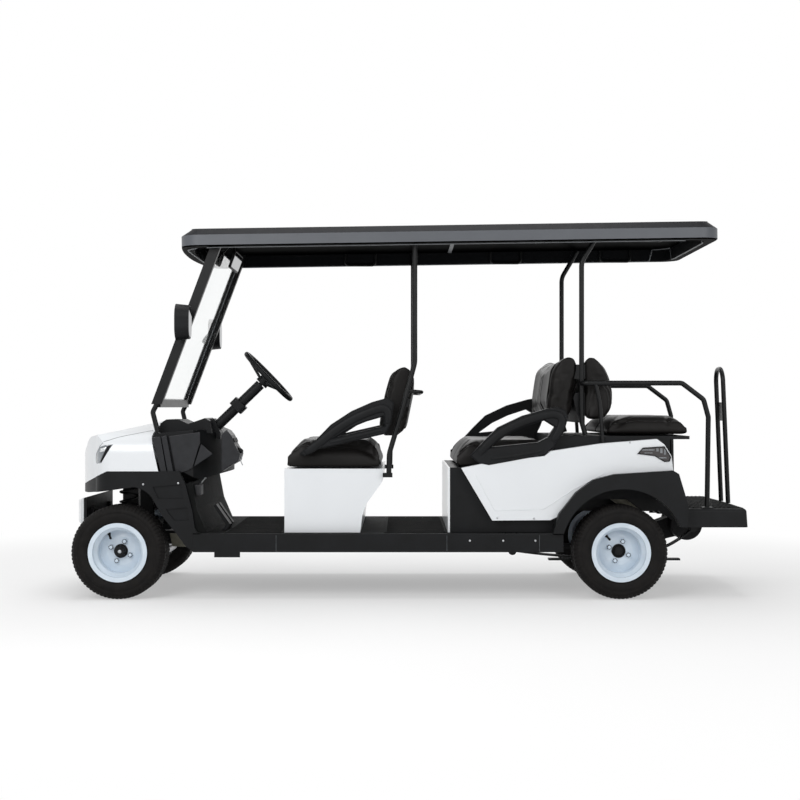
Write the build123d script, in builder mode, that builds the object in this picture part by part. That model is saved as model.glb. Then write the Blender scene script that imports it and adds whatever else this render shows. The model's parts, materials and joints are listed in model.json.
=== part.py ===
from build123d import *
import os
from math import cos, radians, sin

# Six-seat golf cart, four seats facing forward and two facing back.
# Millimetres. +X points to the rear, +Y to the right, +Z up; the origin is on the
# ground under the middle of the cart. Heights are written from the body's datum,
# which stands body_lift above the ground.

# ---- overall layout
wheelbase = 2450
front_overhang = 295        # front axle to the front of the bumper
rear_overhang = 657         # rear axle to the back of the step
track = 990                 # between the middle planes of a pair of wheels
front_axle = front_overhang - (front_overhang + wheelbase + rear_overhang) / 2
rear_axle = front_axle + wheelbase
body_half = 560             # half width over the body sides
body_lift = 8               # ground to the datum of the body's heights
seat_half = 488             # half width of the seats
base_margin = 12            # seat pod, step and flares, out past the seats
running_gap = 0.05          # radial clearance of a shaft in its bearing
seat_gap = 0.3              # between a soft or curved face and its seat
left_side, right_side = -1, 1
sides = (left_side, right_side)

# ---- wheels
tyre_r = 229.5
tyre_width = 205
rim_width = 178             # between the bead seats
bead_r = 127
flange_r = 144
rim_wall = 4
well_r = 110                # drop centre of the rim
disc_set = 1                # outer face of the wheel disc, out from the middle plane
disc_t = 5
bore_r = 34.5
stud_circle_r = 51
stud_r = 6
stud_count = 4
stud_angle = 68             # first stud, seen from outside
nut_across = 21
hub_r = 70
drum_r = 98
axle_z = tyre_r - body_lift

# ---- frame and floor
rail_y = 215                # middle of a main rail
rail_w = 50
rail_h = 68
rail_z = 232                # underside of the rails at the floor
rail_arch_z = 400           # underside of the rails over the rear axle
floor_t = 12
floor_z = rail_z + rail_h + floor_t
sill_low = 221
sill_wall = 14
sill_shelf = 12
floor_half = body_half - sill_wall - 1
floor_front = front_axle + 362
toe_knee = (48, 113)        # run forward and rise of the toe board's lower part
toe_top = (74, 250)         # the same at its upper edge
seat_back_x = front_axle + 1291   # back edge of the front seat cushion
middle_front = rear_axle - 830    # front face of the second seat base
base_rear = rear_axle - 318       # back of the second seat base
step_front = rear_axle + 322
deck_z = 787                # top of the deck under the rear-facing seat
step_z = 429                # top of the rear step

# ---- steering
kingpin_y = track / 2 - 110
kingpin_r = 10
steer_arm = 155             # kingpin to tie rod eye
arm_low_z = 142
arm_t = 25
arm_top_z = 300
arm_top_t = 20
eye_inset = 14              # steering arm's eye, inboard of the kingpin

os.makedirs("parts", exist_ok=True)


def finish_piece(builder, label):
    """Set a finished piece over the ground, name it and write it."""
    piece = builder.part.moved(Location((0, 0, body_lift)))
    piece.label = label
    export_step(piece, f"parts/{label}.step")


def side_plate(points, inner, thickness):
    """Plate with an outline in X and Z, from Y = -inner outward to the left."""
    with BuildSketch(Plane.XZ.offset(inner)) as outline:
        with BuildLine():
            Polyline(*points, close=True)
        make_face()
    extrude(outline.sketch, amount=thickness)


def cross_plate(points, half_width):
    """Solid with an outline in X and Z, the same to the left and the right."""
    with BuildSketch(Plane.XZ) as outline:
        with BuildLine():
            Polyline(*points, close=True)
        make_face()
    extrude(outline.sketch, amount=half_width, both=True)


def bent_tube(points, bend, radius, flats=0):
    """Tube along straight runs joined by arcs, round or with a number of flats."""
    with BuildLine() as path:
        FilletPolyline(*points, radius=bend)
    with BuildSketch(path.line ^ 0) as section:
        if flats:
            RegularPolygon(radius, flats)
        else:
            Circle(radius)
    sweep(section.sketch, path=path.line)


def block(low, high, mode=Mode.ADD):
    """Box between two corners."""
    size = [b - a for a, b in zip(low, high)]
    middle = tuple((a + b) / 2 for a, b in zip(low, high))
    with Locations(middle):
        Box(*size, mode=mode)


# =====================================================================
# Wheels
# =====================================================================
rim_edge = rim_width / 2
rim_lip = 7                 # thickness of the rolled rim flange


def wheel_section(x, side):
    """Plane through a wheel's axle: sketch x is the radius, sketch y points out."""
    return Plane(origin=(x, side * track / 2, axle_z), x_dir=(1, 0, 0), z_dir=(0, 0, side))


def wheel_face(x, side, out):
    """Plane square to a wheel's axle, out from its middle plane."""
    return Plane(origin=(x, side * (track / 2 + out), axle_z), x_dir=(1, 0, 0), z_dir=(0, side, 0))


def wheel_axis(x, side):
    return Axis((x, side * track / 2, axle_z), (0, side, 0))


def wheel_tyre(x, side, label):
    """Tyre: flat tread, sloped shoulders and bulged walls down to the bead."""
    bulge_r = (flange_r + tyre_r) / 2
    tread_half = tyre_width / 2 - 27
    half = tyre_width / 2
    foot_r = bead_r + seat_gap
    with BuildPart() as tyre:
        with BuildSketch(wheel_section(x, side)):
            with BuildLine() as wall:
                Polyline(
                    (foot_r, 0), (foot_r, rim_edge - seat_gap), (flange_r + 0.5, rim_edge - seat_gap),
                    (flange_r + 2, rim_edge + 2), (bulge_r - 6, half), (tyre_r - 16, half - 5),
                    (tyre_r, tread_half), (tyre_r, 0),
                )
                mirror(about=Plane.XZ)
            make_face()
        revolve(axis=wheel_axis(x, side))
    finish_piece(tyre, label)


def wheel_rim(x, side, label):
    """Deep-dish steel rim: barrel with a drop centre, flanges and a pierced disc."""
    disc_out = disc_set
    disc_in = disc_set - disc_t
    edge = rim_edge
    inner = bead_r - rim_wall
    well = well_r - rim_wall
    with BuildPart() as rim:
        with BuildSketch(wheel_section(x, side)):
            with BuildLine():
                Polyline(
                    (flange_r, edge + rim_lip), (flange_r, edge), (bead_r, edge), (bead_r, edge - 28),
                    (well_r, edge - 44), (well_r, 40 - edge), (bead_r, 24 - edge), (bead_r, -edge),
                    (flange_r, -edge), (flange_r, -edge - rim_lip), (inner, -edge - rim_lip + 2),
                    (inner, 24 - edge - rim_wall), (well, 40 - edge - rim_wall), (well, disc_in - 12),
                    (hub_r, disc_in), (bore_r, disc_in), (bore_r, disc_out), (hub_r, disc_out),
                    (well, disc_out - 8), (well, edge - 44 + rim_wall), (inner, edge - 28 + rim_wall),
                    (inner, edge + rim_lip - 2), close=True,
                )
            make_face()
        revolve(axis=wheel_axis(x, side))
        with BuildSketch(wheel_face(x, side, disc_in - 1)):
            with PolarLocations(stud_circle_r, stud_count, start_angle=stud_angle):
                Circle(stud_r + 0.5)
        extrude(amount=disc_t + 2, mode=Mode.SUBTRACT)
    finish_piece(rim, label)


def wheel_hub(x, side, label, bearing_r, hub_back, front):
    """Hub with its brake drum, studs and nuts; hub_back is the back face of the drum."""
    disc_in = disc_set - disc_t
    with BuildPart() as hub:
        with BuildSketch(wheel_section(x, side)):
            with BuildLine():
                Polyline(
                    (bearing_r, hub_back), (drum_r, hub_back), (drum_r, disc_in - 34),
                    (hub_r, disc_in - 16), (hub_r, disc_in), (bore_r - seat_gap, disc_in),
                    (bore_r - seat_gap, disc_set + 4), (bore_r - 5, disc_set + 4),
                    (bore_r - 5, disc_set - 8), (bearing_r, disc_set - 8),
                    close=True,
                )
            make_face()
        revolve(axis=wheel_axis(x, side))
        with BuildSketch(wheel_face(x, side, disc_in)):
            with PolarLocations(stud_circle_r, stud_count, start_angle=stud_angle):
                Circle(stud_r)
        extrude(amount=disc_t)
        with BuildSketch(wheel_face(x, side, disc_set)):
            with PolarLocations(stud_circle_r, stud_count, start_angle=stud_angle):
                RegularPolygon(nut_across / 2, 6, major_radius=False)
        extrude(amount=17)
        if front:
            with BuildSketch(wheel_section(x, side)):
                with BuildLine():
                    Polyline(
                        (0, disc_set + 4), (bore_r - 2, disc_set + 4), (bore_r - 2, disc_set + 9),
                        (cap_r, disc_set + 9), (cap_r, disc_set + 30),
                        (cap_r - 6, disc_set + 38), (0, disc_set + 38), close=True,
                    )
                make_face()
            revolve(axis=wheel_axis(x, side))
    finish_piece(hub, label)


spindle_r = 16
halfshaft_r = 18
cap_r = 27                  # dust cap of a front hub
front_hub_back = -70        # from the middle plane of the wheel
rear_hub_back = -94
corner_names = {left_side: "left", right_side: "right"}
for side in sides:
    name = corner_names[side]
    wheel_tyre(front_axle, side, f"tyre_front_{name}")
    wheel_rim(front_axle, side, f"rim_front_{name}")
    wheel_hub(front_axle, side, f"hub_front_{name}", spindle_r + running_gap, front_hub_back, True)
    wheel_tyre(rear_axle, side, f"tyre_rear_{name}")
    wheel_rim(rear_axle, side, f"rim_rear_{name}")
    wheel_hub(rear_axle, side, f"hub_rear_{name}", halfshaft_r + running_gap, rear_hub_back, False)

# =====================================================================
# Frame: two main rails that kick up over the rear axle, cross members,
# outriggers to the sills and the tower of the front coil springs
# =====================================================================
tower_z = 530               # underside of the spring tower
tower_t = 24
coil_y = kingpin_y - 93
coil_r = 42
wire_r = 6
step_under = step_z - 8
spring_y = track / 2 - 155    # middle of a leaf spring
leaf_w = 50
eye_front = rear_axle - 512
eye_rear = rear_axle + 400
eye_z = 205
eye_rear_z = 318
eye_r = 18
hanger_top = step_under - 12
outrigger_low = 250
outrigger_x = (front_axle + 420, front_axle + 1000, rear_axle - 900, rear_axle - 560)
outrigger_high = rail_z + rail_h - sill_shelf
cross_x = (front_axle - 165, front_axle + 200, front_axle + 900, rear_axle - 700)
arch_cross_x = (rear_axle - 155, rear_axle + 220)

# rail stations: (x, underside)
rail_line = (
    (front_axle - 190, rail_z), (base_rear, rail_z), (base_rear + 140, rail_arch_z),
    (rear_axle + 240, rail_arch_z), (step_front - 6, step_under - rail_h),
    (rear_axle + 560, step_under - rail_h),
)
rail_inner = rail_y - rail_w / 2
rail_outer = rail_y + rail_w / 2
with BuildPart() as frame:
    upper = [(x, z + rail_h) for x, z in reversed(rail_line)]
    side_plate(list(rail_line) + upper, rail_inner, rail_w)
    mirror(about=Plane.XZ)
finish_piece(frame, "frame")

# Cross members between the rails, and outriggers that carry the edges of the floor
with BuildPart() as cross_members:
    for x in cross_x:
        block((x - 25, -rail_inner, rail_z + 8), (x + 25, rail_inner, rail_z + rail_h - 8))
    for x in arch_cross_x:
        block((x - 20, -rail_inner, rail_arch_z + 10), (x + 20, rail_inner, rail_arch_z + rail_h - 4))
    for x in outrigger_x:
        block((x - 20, -rail_inner, outrigger_low), (x + 20, rail_inner, outrigger_high))
        for side in sides:
            low_y, high_y = sorted((side * rail_outer, side * (floor_half - 8)))
            block((x - 20, low_y, outrigger_low), (x + 20, high_y, outrigger_high))
finish_piece(cross_members, "cross_members")

# Tower over the rails that carries the front coil springs
with BuildPart() as spring_tower:
    for side in sides:
        low_y, high_y = sorted((side * rail_inner, side * rail_outer))
        block((front_axle - 40, low_y, rail_z + rail_h), (front_axle + 40, high_y, tower_z))
    block(
        (front_axle - 48, -coil_y - coil_r - wire_r, tower_z),
        (front_axle + 48, coil_y + coil_r + wire_r, tower_z + tower_t),
    )
finish_piece(spring_tower, "spring_tower")

# Brackets of the front suspension arms and hangers of the leaf springs
with BuildPart() as spring_hangers:
    for side in sides:
        low_y, high_y = sorted((side * rail_inner, side * rail_outer))
        for x in (front_axle - 120, front_axle + 120):
            block((x - 15, low_y, arm_low_z - 4), (x + 15, high_y, rail_z))
        low_y, high_y = sorted((side * rail_outer, side * (spring_y + leaf_w / 2)))
        block((eye_front - 25, low_y, eye_z + 22), (eye_front + 25, high_y, rail_z + rail_h - 12))
        block((eye_rear - 15, low_y, eye_rear_z + 4 + eye_r + seat_gap), (eye_rear + 15, high_y, hanger_top))
finish_piece(spring_hangers, "spring_hangers")

# Floor pan with the sloping toe board in front
gusset_t = 16
fender_gap = 1
# rear edge of the front side panels above the sill: (x, z) upward
fender_rear = (
    (front_axle + 402, floor_z + 1.3), (front_axle + 384, 318), (front_axle + 371, 342),
    (front_axle + 359, 423), (front_axle + 341, 492), (front_axle + 326, 551),
)
with BuildPart() as floor:
    rear_edge = middle_front + 260
    toe_x = floor_front + 55
    toe_line = [(toe_x, floor_z)] + [(toe_x - run, floor_z + rise) for run, rise in (toe_knee, toe_top)]
    cross_plate(
        [(floor_front, floor_z - floor_t), (rear_edge, floor_z - floor_t), (rear_edge, floor_z)]
        + [(x + floor_t, z) for x, z in toe_line] + list(reversed(toe_line)) + [(floor_front, floor_z)],
        floor_half,
    )
    # gussets that close the foot well against the side panels
    side_plate(
        toe_line + [(x + fender_gap, z) for x, z in reversed(fender_rear)]
        + [(fender_rear[0][0] + fender_gap, floor_z)],
        floor_half - gusset_t, gusset_t,
    )
    mirror(about=Plane.XZ)
finish_piece(floor, "floor")

# Sills: side mouldings with a shelf under the edge of the floor
sill_front = floor_front
sill_rear = rear_axle - 278
with BuildPart() as sills:
    with BuildSketch(Plane.YZ.offset(sill_front)):
        with BuildLine():
            Polyline(
                (-body_half, sill_low), (-body_half, floor_z - 6), (-body_half + 7, floor_z + 1),
                (-body_half + sill_wall, floor_z + 1), (-body_half + sill_wall, floor_z - floor_t),
                (-body_half + 60, floor_z - floor_t), (-body_half + 60, floor_z - floor_t - sill_shelf),
                (-body_half + sill_wall, floor_z - floor_t - sill_shelf),
                (-body_half + sill_wall, sill_low),
                close=True,
            )
        make_face()
    extrude(amount=sill_rear - sill_front)
    block((front_axle + 467, -body_half, 196), (front_axle + 592, -body_half + sill_wall, sill_low))
    mirror(about=Plane.XZ)
finish_piece(sills, "sills")

# =====================================================================
# Front body
# =====================================================================
nose_reach = 266            # front axle to the tip of the nose
nose_corner_x = 132         # front axle to the corner of the nose
nose_corner_y = body_half - 108
cowl_wall = 6
cowl_low = 616              # lower edge of the cowl behind the front axle
cowl_crown = 866
cowl_rear_top = (front_axle + 156, 783)
cowl_rear_low = (front_axle + 195, 606)


def nose_plan(inset, rear):
    """Outline of the front body seen from above, set in from the outside by inset."""
    half = body_half - inset
    tip = front_axle - nose_reach + inset
    corner = (front_axle - nose_corner_x + inset * 0.6, nose_corner_y - inset * 0.8)
    bend = (front_axle - 98 + inset * 0.8, body_half - 32 - inset * 0.9)
    side_start = front_axle - 30
    with BuildLine() as outline:
        ThreePointArc((corner[0], -corner[1]), (tip, 0), corner)
        ThreePointArc(corner, bend, (side_start, half))
        Polyline((side_start, half), (rear, half), (rear, -half), (side_start, -half))
        ThreePointArc((side_start, -half), (bend[0], -bend[1]), (corner[0], -corner[1]))
    make_face(outline.edges())


def cowl_form(inset):
    """Body of the front cowl: plan, side view and front view made to meet."""
    with BuildPart() as form:
        with BuildSketch(Plane.XY.offset(450)):
            nose_plan(inset, front_axle + 260)
        extrude(amount=450)
        with BuildSketch(Plane.XZ):
            top = cowl_crown - inset
            with BuildLine():
                ThreePointArc(
                    (front_axle - 215 + inset, 480), (front_axle - nose_reach + inset, 605),
                    (front_axle - 209 + inset, 735),
                )
                ThreePointArc(
                    (front_axle - 209 + inset, 735), (front_axle - 186 + inset * 0.8, 770 - inset * 0.7),
                    (front_axle - 144, 787 - inset),
                )
                ThreePointArc(
                    (front_axle - 144, 787 - inset), (front_axle + 10, 820 - inset), (front_axle + 166, top - 5)
                )
                Polyline(
                    (front_axle + 166, top - 5), cowl_rear_top, cowl_rear_low,
                    (front_axle + 200, 480), (front_axle - 215 + inset, 480),
                )
            make_face()
        extrude(amount=body_half + 20, both=True, mode=Mode.INTERSECT)
        with BuildSketch(Plane.YZ.offset(front_axle - 300)):
            half = body_half - inset
            with BuildLine():
                Polyline((-half, 700), (-half, 470), (half, 470), (half, 700))
                ThreePointArc((half, 700), (half - 28, 772 - inset * 0.5), (half - 95, 808 - inset))
                ThreePointArc((half - 95, 808 - inset), (0, cowl_crown - inset), (-half + 95, 808 - inset))
                ThreePointArc((-half + 95, 808 - inset), (-half + 28, 772 - inset * 0.5), (-half, 700))
            make_face()
        extrude(amount=600, mode=Mode.INTERSECT)
    return form.part


cowl_outer = cowl_form(0)
cowl_inner = cowl_form(cowl_wall)
# lower edge of the white cowl: (x, z) from behind the axle to the tip of the nose
cowl_edge = (
    (front_axle + 220, cowl_low), (front_axle - 58, cowl_low), (front_axle - 108, 594),
    (front_axle - 253, 533), (front_axle - 320, 533),
)
# outline of a headlamp seen from the side
lamp_outline = (
    (front_axle - 28, 747), (front_axle - 65, 744), (front_axle - 101, 733), (front_axle - 121, 704),
    (front_axle - 130, 667), (front_axle - 118, 651), (front_axle - 90, 655),
)
lamp_inner = body_half - 135   # inner end of a headlamp, round the corner of the nose
with BuildPart() as front_cowl:
    add(cowl_outer)
    add(cowl_inner, mode=Mode.SUBTRACT)
    with BuildSketch(Plane.XZ):
        with BuildLine():
            Polyline(*cowl_edge, (front_axle - 320, 400), (front_axle + 220, 400), close=True)
        make_face()
    extrude(amount=body_half + 20, both=True, mode=Mode.SUBTRACT)
    with BuildSketch(Plane.XZ.offset(lamp_inner)):
        with BuildLine():
            Polyline(*lamp_outline, close=True)
        make_face()
    extrude(amount=body_half, mode=Mode.SUBTRACT)
    with BuildSketch(Plane.XZ.offset(-lamp_inner)):
        with BuildLine():
            Polyline(*lamp_outline, close=True)
        make_face()
    extrude(amount=-body_half, mode=Mode.SUBTRACT)
finish_piece(front_cowl, "front_cowl")

lamp_depth = 30
lamp_core = cowl_form(lamp_depth)
with BuildPart() as headlamps:
    side_plate(lamp_outline, lamp_inner, body_half)
    add(cowl_form(1), mode=Mode.INTERSECT)
    add(lamp_core, mode=Mode.SUBTRACT)
    mirror(about=Plane.XZ)
finish_piece(headlamps, "headlamps")

# Black lower front: a lip under the nose and the side panels behind the wheels
panel_t = 38
with BuildPart() as front_fender:
    with BuildSketch(Plane.XY.offset(200)):
        nose_plan(0, front_axle + 400)
    extrude(amount=430)
    with BuildSketch(Plane.XY.offset(190)):
        nose_plan(panel_t, front_axle + 420)
    extrude(amount=450, mode=Mode.SUBTRACT)
    with BuildSketch(Plane.XZ):
        with BuildLine():
            Polyline(
                (front_axle + 71, 539), (front_axle - 30, 524), (front_axle - 200, 500),
                (front_axle - 300, 494), (front_axle - 300, 533), (front_axle - 253, 533),
                (front_axle - 108, 594), (front_axle - 58, cowl_low),
                (front_axle + 296, cowl_low), *reversed(fender_rear), (sill_front - 0.3, floor_z + 1.3),
                (sill_front - 0.3, sill_low + 6), (front_axle + 328, 249), (front_axle + 278, 317),
                (front_axle + 216, 393), (front_axle + 170, 475),
            )
            ThreePointArc((front_axle + 170, 475), (front_axle + 132, 517), (front_axle + 71, 539))
        make_face()
    extrude(amount=body_half + 20, both=True, mode=Mode.INTERSECT)
    # two shallow recesses in each side panel
    for outline in (
        ((front_axle + 166, 540), (front_axle + 306, 552), (front_axle + 316, 481), (front_axle + 193, 481)),
        ((front_axle + 230, 430), (front_axle + 336, 440), (front_axle + 344, 376), (front_axle + 272, 374)),
    ):
        for offset_y in (body_half - 8, -body_half - 1):
            with BuildSketch(Plane.XZ.offset(offset_y)):
                with BuildLine():
                    Polyline(*outline, close=True)
                make_face()
            extrude(amount=9, mode=Mode.SUBTRACT)
finish_piece(front_fender, "front_fender")

# Front bumper, bowed in plan
bumper_half = 330
with BuildPart() as front_bumper:
    with BuildSketch(Plane.XY.offset(345)):
        with BuildLine():
            ThreePointArc(
                (front_axle - 235, -bumper_half), (front_axle - front_overhang, 0),
                (front_axle - 235, bumper_half)
            )
            Polyline(
                (front_axle - 235, bumper_half), (front_axle - 205, bumper_half),
                (front_axle - 205, -bumper_half), (front_axle - 235, -bumper_half),
            )
        make_face()
    extrude(amount=135)
    with BuildSketch(Plane.XZ):
        with BuildLine():
            Polyline(
                (front_axle - 200, 345), (front_axle - 272, 345), (front_axle - 292, 395),
                (front_axle - front_overhang, 432), (front_axle - 284, 450),
                (front_axle - 200, 478), close=True,
            )
        make_face()
    extrude(amount=bumper_half + 10, both=True, mode=Mode.INTERSECT)
    block((front_axle - 207, -200, 356), (front_axle - 189, 200, 420), mode=Mode.SUBTRACT)
    for side in sides:
        low_y, high_y = sorted((side * (rail_y - 20), side * (rail_y + 20)))
        block((front_axle - 230, low_y, rail_z + 6), (front_axle - 190, high_y, 420))
finish_piece(front_bumper, "front_bumper")

# Dashboard: moulded bowed panel with a binnacle and open pockets
dash_centre = front_axle + 495
dash_side = front_axle + 360
binnacle_y = -270
with BuildPart() as dashboard:
    cross_plate(
        (
            (front_axle + 162, 782), (front_axle + 172, 800), (front_axle + 264, 808),
            (front_axle + 392, 818), (front_axle + 455, 800), (front_axle + 492, 735),
            (front_axle + 497, 600), (front_axle + 380, 575), (front_axle + 300, cowl_low + seat_gap),
            (front_axle + 199, cowl_low + seat_gap),
        ),
        body_half - 34,
    )
    with BuildSketch(Plane.XY.offset(560)):
        with BuildLine():
            ThreePointArc((dash_side, -body_half + 34), (dash_centre, 0), (dash_side, body_half - 34))
            Polyline(
                (dash_side, body_half - 34), (front_axle + 150, body_half - 34),
                (front_axle + 150, -body_half + 34), (dash_side, -body_half + 34),
            )
        make_face()
    extrude(amount=270, mode=Mode.INTERSECT)
    # hollow underneath
    block(
        (front_axle + 230, -body_half + 60, 560), (front_axle + 330, body_half - 60, 770), mode=Mode.SUBTRACT
    )
    # open glove pockets in the face
    for y in (60, 330):
        block((front_axle + 380, y - 115, 640), (front_axle + 520, y + 115, 730), mode=Mode.SUBTRACT)
    with BuildSketch(Plane.XZ.offset(-binnacle_y - 150)):
        with BuildLine():
            Polyline(
                (front_axle + 180, 795), (front_axle + 180, 848), (front_axle + 210, 868),
                (front_axle + 272, 868), (front_axle + 320, 846), (front_axle + 402, 875),
                (front_axle + 424, 862), (front_axle + 436, 800),
                close=True,
            )
        make_face()
    extrude(amount=300)
    # boss that the steering column leaves through
    side_plate(
        (
            (front_axle + 380, 790), (front_axle + 400, 870), (front_axle + 434, 872),
            (front_axle + 468, 800), (front_axle + 468, 770), (front_axle + 420, 770),
        ),
        -binnacle_y - 52, 104,
    )
finish_piece(dashboard, "dashboard")

# =====================================================================
# Windshield, posts and roof
# =====================================================================
post_y = body_half - 70
post_r = 12.5
screen_foot = (front_axle + 177, 948)
screen_slope = (0.3508, 0.9365)
roof_rise = radians(0.85)
roof_front = front_axle + 311        # front corners of the roof
roof_rear = rear_axle + 491
roof_half = body_half + 10
roof_lip_front = 1713                # height of the lower lip at the front corners
roof_bow = 50                        # the front edge bows forward
roof_lip_edge = 6                    # small bevel under the band
roof_band = 50                       # upright band round the roof
roof_bevel = (45, 35)                # inward and up, from the band to the top
roof_crown = 24                      # rise of the top from its edges to the middle
roof_inset = 60                      # edge of the ceiling's pocket
roof_ceiling = 64                    # ceiling above the lip


def roof_lip(x):
    """Height of the roof's lower lip at x."""
    return roof_lip_front + (x - roof_front) * sin(roof_rise) / cos(roof_rise)


roof_plane = Plane(
    origin=(roof_front, 0, roof_lip_front), x_dir=(cos(roof_rise), 0, sin(roof_rise)),
    z_dir=(-sin(roof_rise), 0, cos(roof_rise)),
)
roof_length = (roof_rear - roof_front) / cos(roof_rise)


def roof_plan(height, inset, corner):
    """Roof outline at a height above the lip, with a bowed front edge and round corners."""
    half = roof_half - inset
    rear = roof_length - inset
    with BuildSketch(roof_plane.offset(height)) as plan:
        with BuildLine():
            ThreePointArc((inset, -half), (inset - roof_bow, 0), (inset, half))
            Polyline((inset, half), (rear, half), (rear, -half), (inset, -half))
        make_face()
        fillet(plan.vertices(), corner)
    return plan.sketch


with BuildPart() as roof:
    band_top = roof_lip_edge + roof_band
    bevel_top = band_top + roof_bevel[1]
    extrude(roof_plan(roof_lip_edge, 0, 95), amount=roof_band)
    loft([roof_plan(0, roof_lip_edge, 89), roof_plan(roof_lip_edge, 0, 95)])
    loft([roof_plan(band_top, 0, 95), roof_plan(bevel_top, roof_bevel[0], 60)])
    extrude(roof_plan(bevel_top, roof_bevel[0], 60), amount=roof_crown)
    # crowned top
    crown_plane = Plane(origin=roof_plane.origin, x_dir=(0, 1, 0), z_dir=roof_plane.x_dir)
    half = roof_half + 5
    with BuildSketch(crown_plane.offset(-100)):
        with BuildLine():
            Polyline((-half, bevel_top - 5), (-half, -20), (half, -20), (half, bevel_top - 5))
            ThreePointArc((half, bevel_top - 5), (0, bevel_top + roof_crown), (-half, bevel_top - 5))
        make_face()
    extrude(amount=roof_length + 200, mode=Mode.INTERSECT)
    extrude(roof_plan(0, roof_inset, 70), amount=roof_ceiling, mode=Mode.SUBTRACT)
finish_piece(roof, "roof")


def ceiling_z(x):
    """Underside of the roof panel at x."""
    return roof_lip(x) + roof_ceiling


def screen_x(z):
    """Place of the windshield's plane at a height."""
    return screen_foot[0] + (z - screen_foot[1]) * screen_slope[0] / screen_slope[1]


# Front posts: tubes from the cowl to the roof inside flat black sleeves
post_top_z = roof_lip(screen_x(1720)) + roof_ceiling - seat_gap
sleeve_depth = 48
screen_t = 5
screen_half = post_y - 16
glass_low = screen_foot[1] + 20
with BuildPart() as front_posts:
    bent_tube(
        (
            (front_axle + 180, -post_y, 806), (front_axle + 155, -post_y, 905),
            (screen_foot[0], -post_y, screen_foot[1]), (screen_x(1000), -post_y, 1000),
        ),
        24, post_r,
    )
    low = screen_foot[1] - 4
    high = post_top_z
    half_depth = sleeve_depth / 2 / screen_slope[1]
    side_plate(
        (
            (screen_x(low) - half_depth, low), (screen_x(low) + half_depth, low),
            (screen_x(high) + half_depth, high), (screen_x(high) - half_depth, high),
        ),
        post_y - 16, 32,
    )
    mirror(about=Plane.XZ)
    # bar along the foot of the windshield
    bar_x = screen_foot[0]
    cross_plate(
        (
            (bar_x - 16, screen_foot[1] - 20), (bar_x + 14, screen_foot[1] - 20),
            (screen_x(glass_low) + 8, glass_low - seat_gap),
            (screen_x(glass_low) - 18, glass_low - seat_gap),
        ),
        screen_half,
    )
finish_piece(front_posts, "front_posts")

# Windshield: clear sheet between the posts
with BuildPart() as windshield:
    glass_high = post_top_z - 12
    cross_plate(
        (
            (screen_x(glass_low) - screen_t, glass_low), (screen_x(glass_low), glass_low),
            (screen_x(glass_high), glass_high), (screen_x(glass_high) - screen_t, glass_high),
        ),
        screen_half - seat_gap,
    )
finish_piece(windshield, "windshield")

# Roof posts
mid_post_x = seat_back_x + 156
mid_post_y = seat_half + 27
mid_post_top_y = mid_post_y - 19
pod_rear = seat_back_x
pod_top = 626
rear_post_x = rear_axle - 175
rear_post_y = seat_half - 45


def pod_face(z):
    """Back face of the seat pod near its top."""
    return pod_rear - 4 * (pod_top - z) / 64 + seat_gap


def back_face(z):
    """Back of the front backrest."""
    return pod_rear + 88 + (z - 846) * 60 / 279 + seat_gap


with BuildPart() as roof_posts:
    top = ceiling_z(mid_post_x) - seat_gap
    foot_y = mid_post_y - 6
    bent_tube(
        (
            (mid_post_x, -mid_post_top_y, top), (mid_post_x, -mid_post_top_y, 1148),
            (mid_post_x - 58, -mid_post_y + 12, 930), (pod_rear + 30, -foot_y, 700),
            (pod_rear + 28, -foot_y, 600),
        ),
        120, post_r,
    )
    side_plate(
        ((pod_face(606), 606), (pod_rear + 46, 606), (pod_rear + 46, 585), (pod_face(585), 585)),
        foot_y - 22, 44,
    )
    top_x = rear_post_x + 88
    bent_tube(
        (
            (rear_post_x + 19, -rear_post_y, deck_z + 4), (rear_post_x, -rear_post_y, 858),
            (rear_post_x, -rear_post_y, 1650), (top_x, -rear_post_y, ceiling_z(top_x) - seat_gap - 8),
        ),
        90, post_r,
    )
    # plates that carry the two backrests on the rear posts
    side_plate(
        (
            (rear_axle - 213 + seat_gap, 1070), (rear_axle - 204 + seat_gap, 1110),
            (rear_axle - 202.4 + seat_gap, 1140), (rear_axle - 157 - seat_gap, 1140),
            (rear_axle - 157 - seat_gap, 1070),
        ),
        rear_post_y - 5, 10,
    )
    mirror(about=Plane.XZ)
    # bar behind the front backrest
    cross_plate(
        (
            (back_face(930), 930), (back_face(930) + 20, 930), (back_face(970) + 20, 970),
            (back_face(970), 970),
        ),
        mid_post_y - 12,
    )
    # grab rail behind it for the second row
    rail_at = mid_post_x - 38
    bent_tube(
        (
            (rail_at, -mid_post_y + 14, 1010), (rail_at + 72, -mid_post_y + 30, 1004),
            (rail_at + 72, mid_post_y - 30, 1004), (rail_at, mid_post_y - 14, 1010),
        ),
        30, 9,
    )
finish_piece(roof_posts, "roof_posts")

# Assist handles under the roof edge
handle_x = (front_axle + 1152, rear_axle - 482, rear_axle + 132)
handle_span = 170
handle_r = 7
handle_y = roof_half - 70
with BuildPart() as roof_handles:
    for x in handle_x:
        drop = roof_lip(x)
        bent_tube(
            (
                (x - handle_span / 2, -handle_y, ceiling_z(x - handle_span / 2) - seat_gap),
                (x - handle_span / 2, -handle_y, drop), (x + handle_span / 2, -handle_y, drop),
                (x + handle_span / 2, -handle_y, ceiling_z(x + handle_span / 2) - seat_gap),
            ),
            22, handle_r, flats=8,
        )
    mirror(about=Plane.XZ)
finish_piece(roof_handles, "roof_handles")

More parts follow.
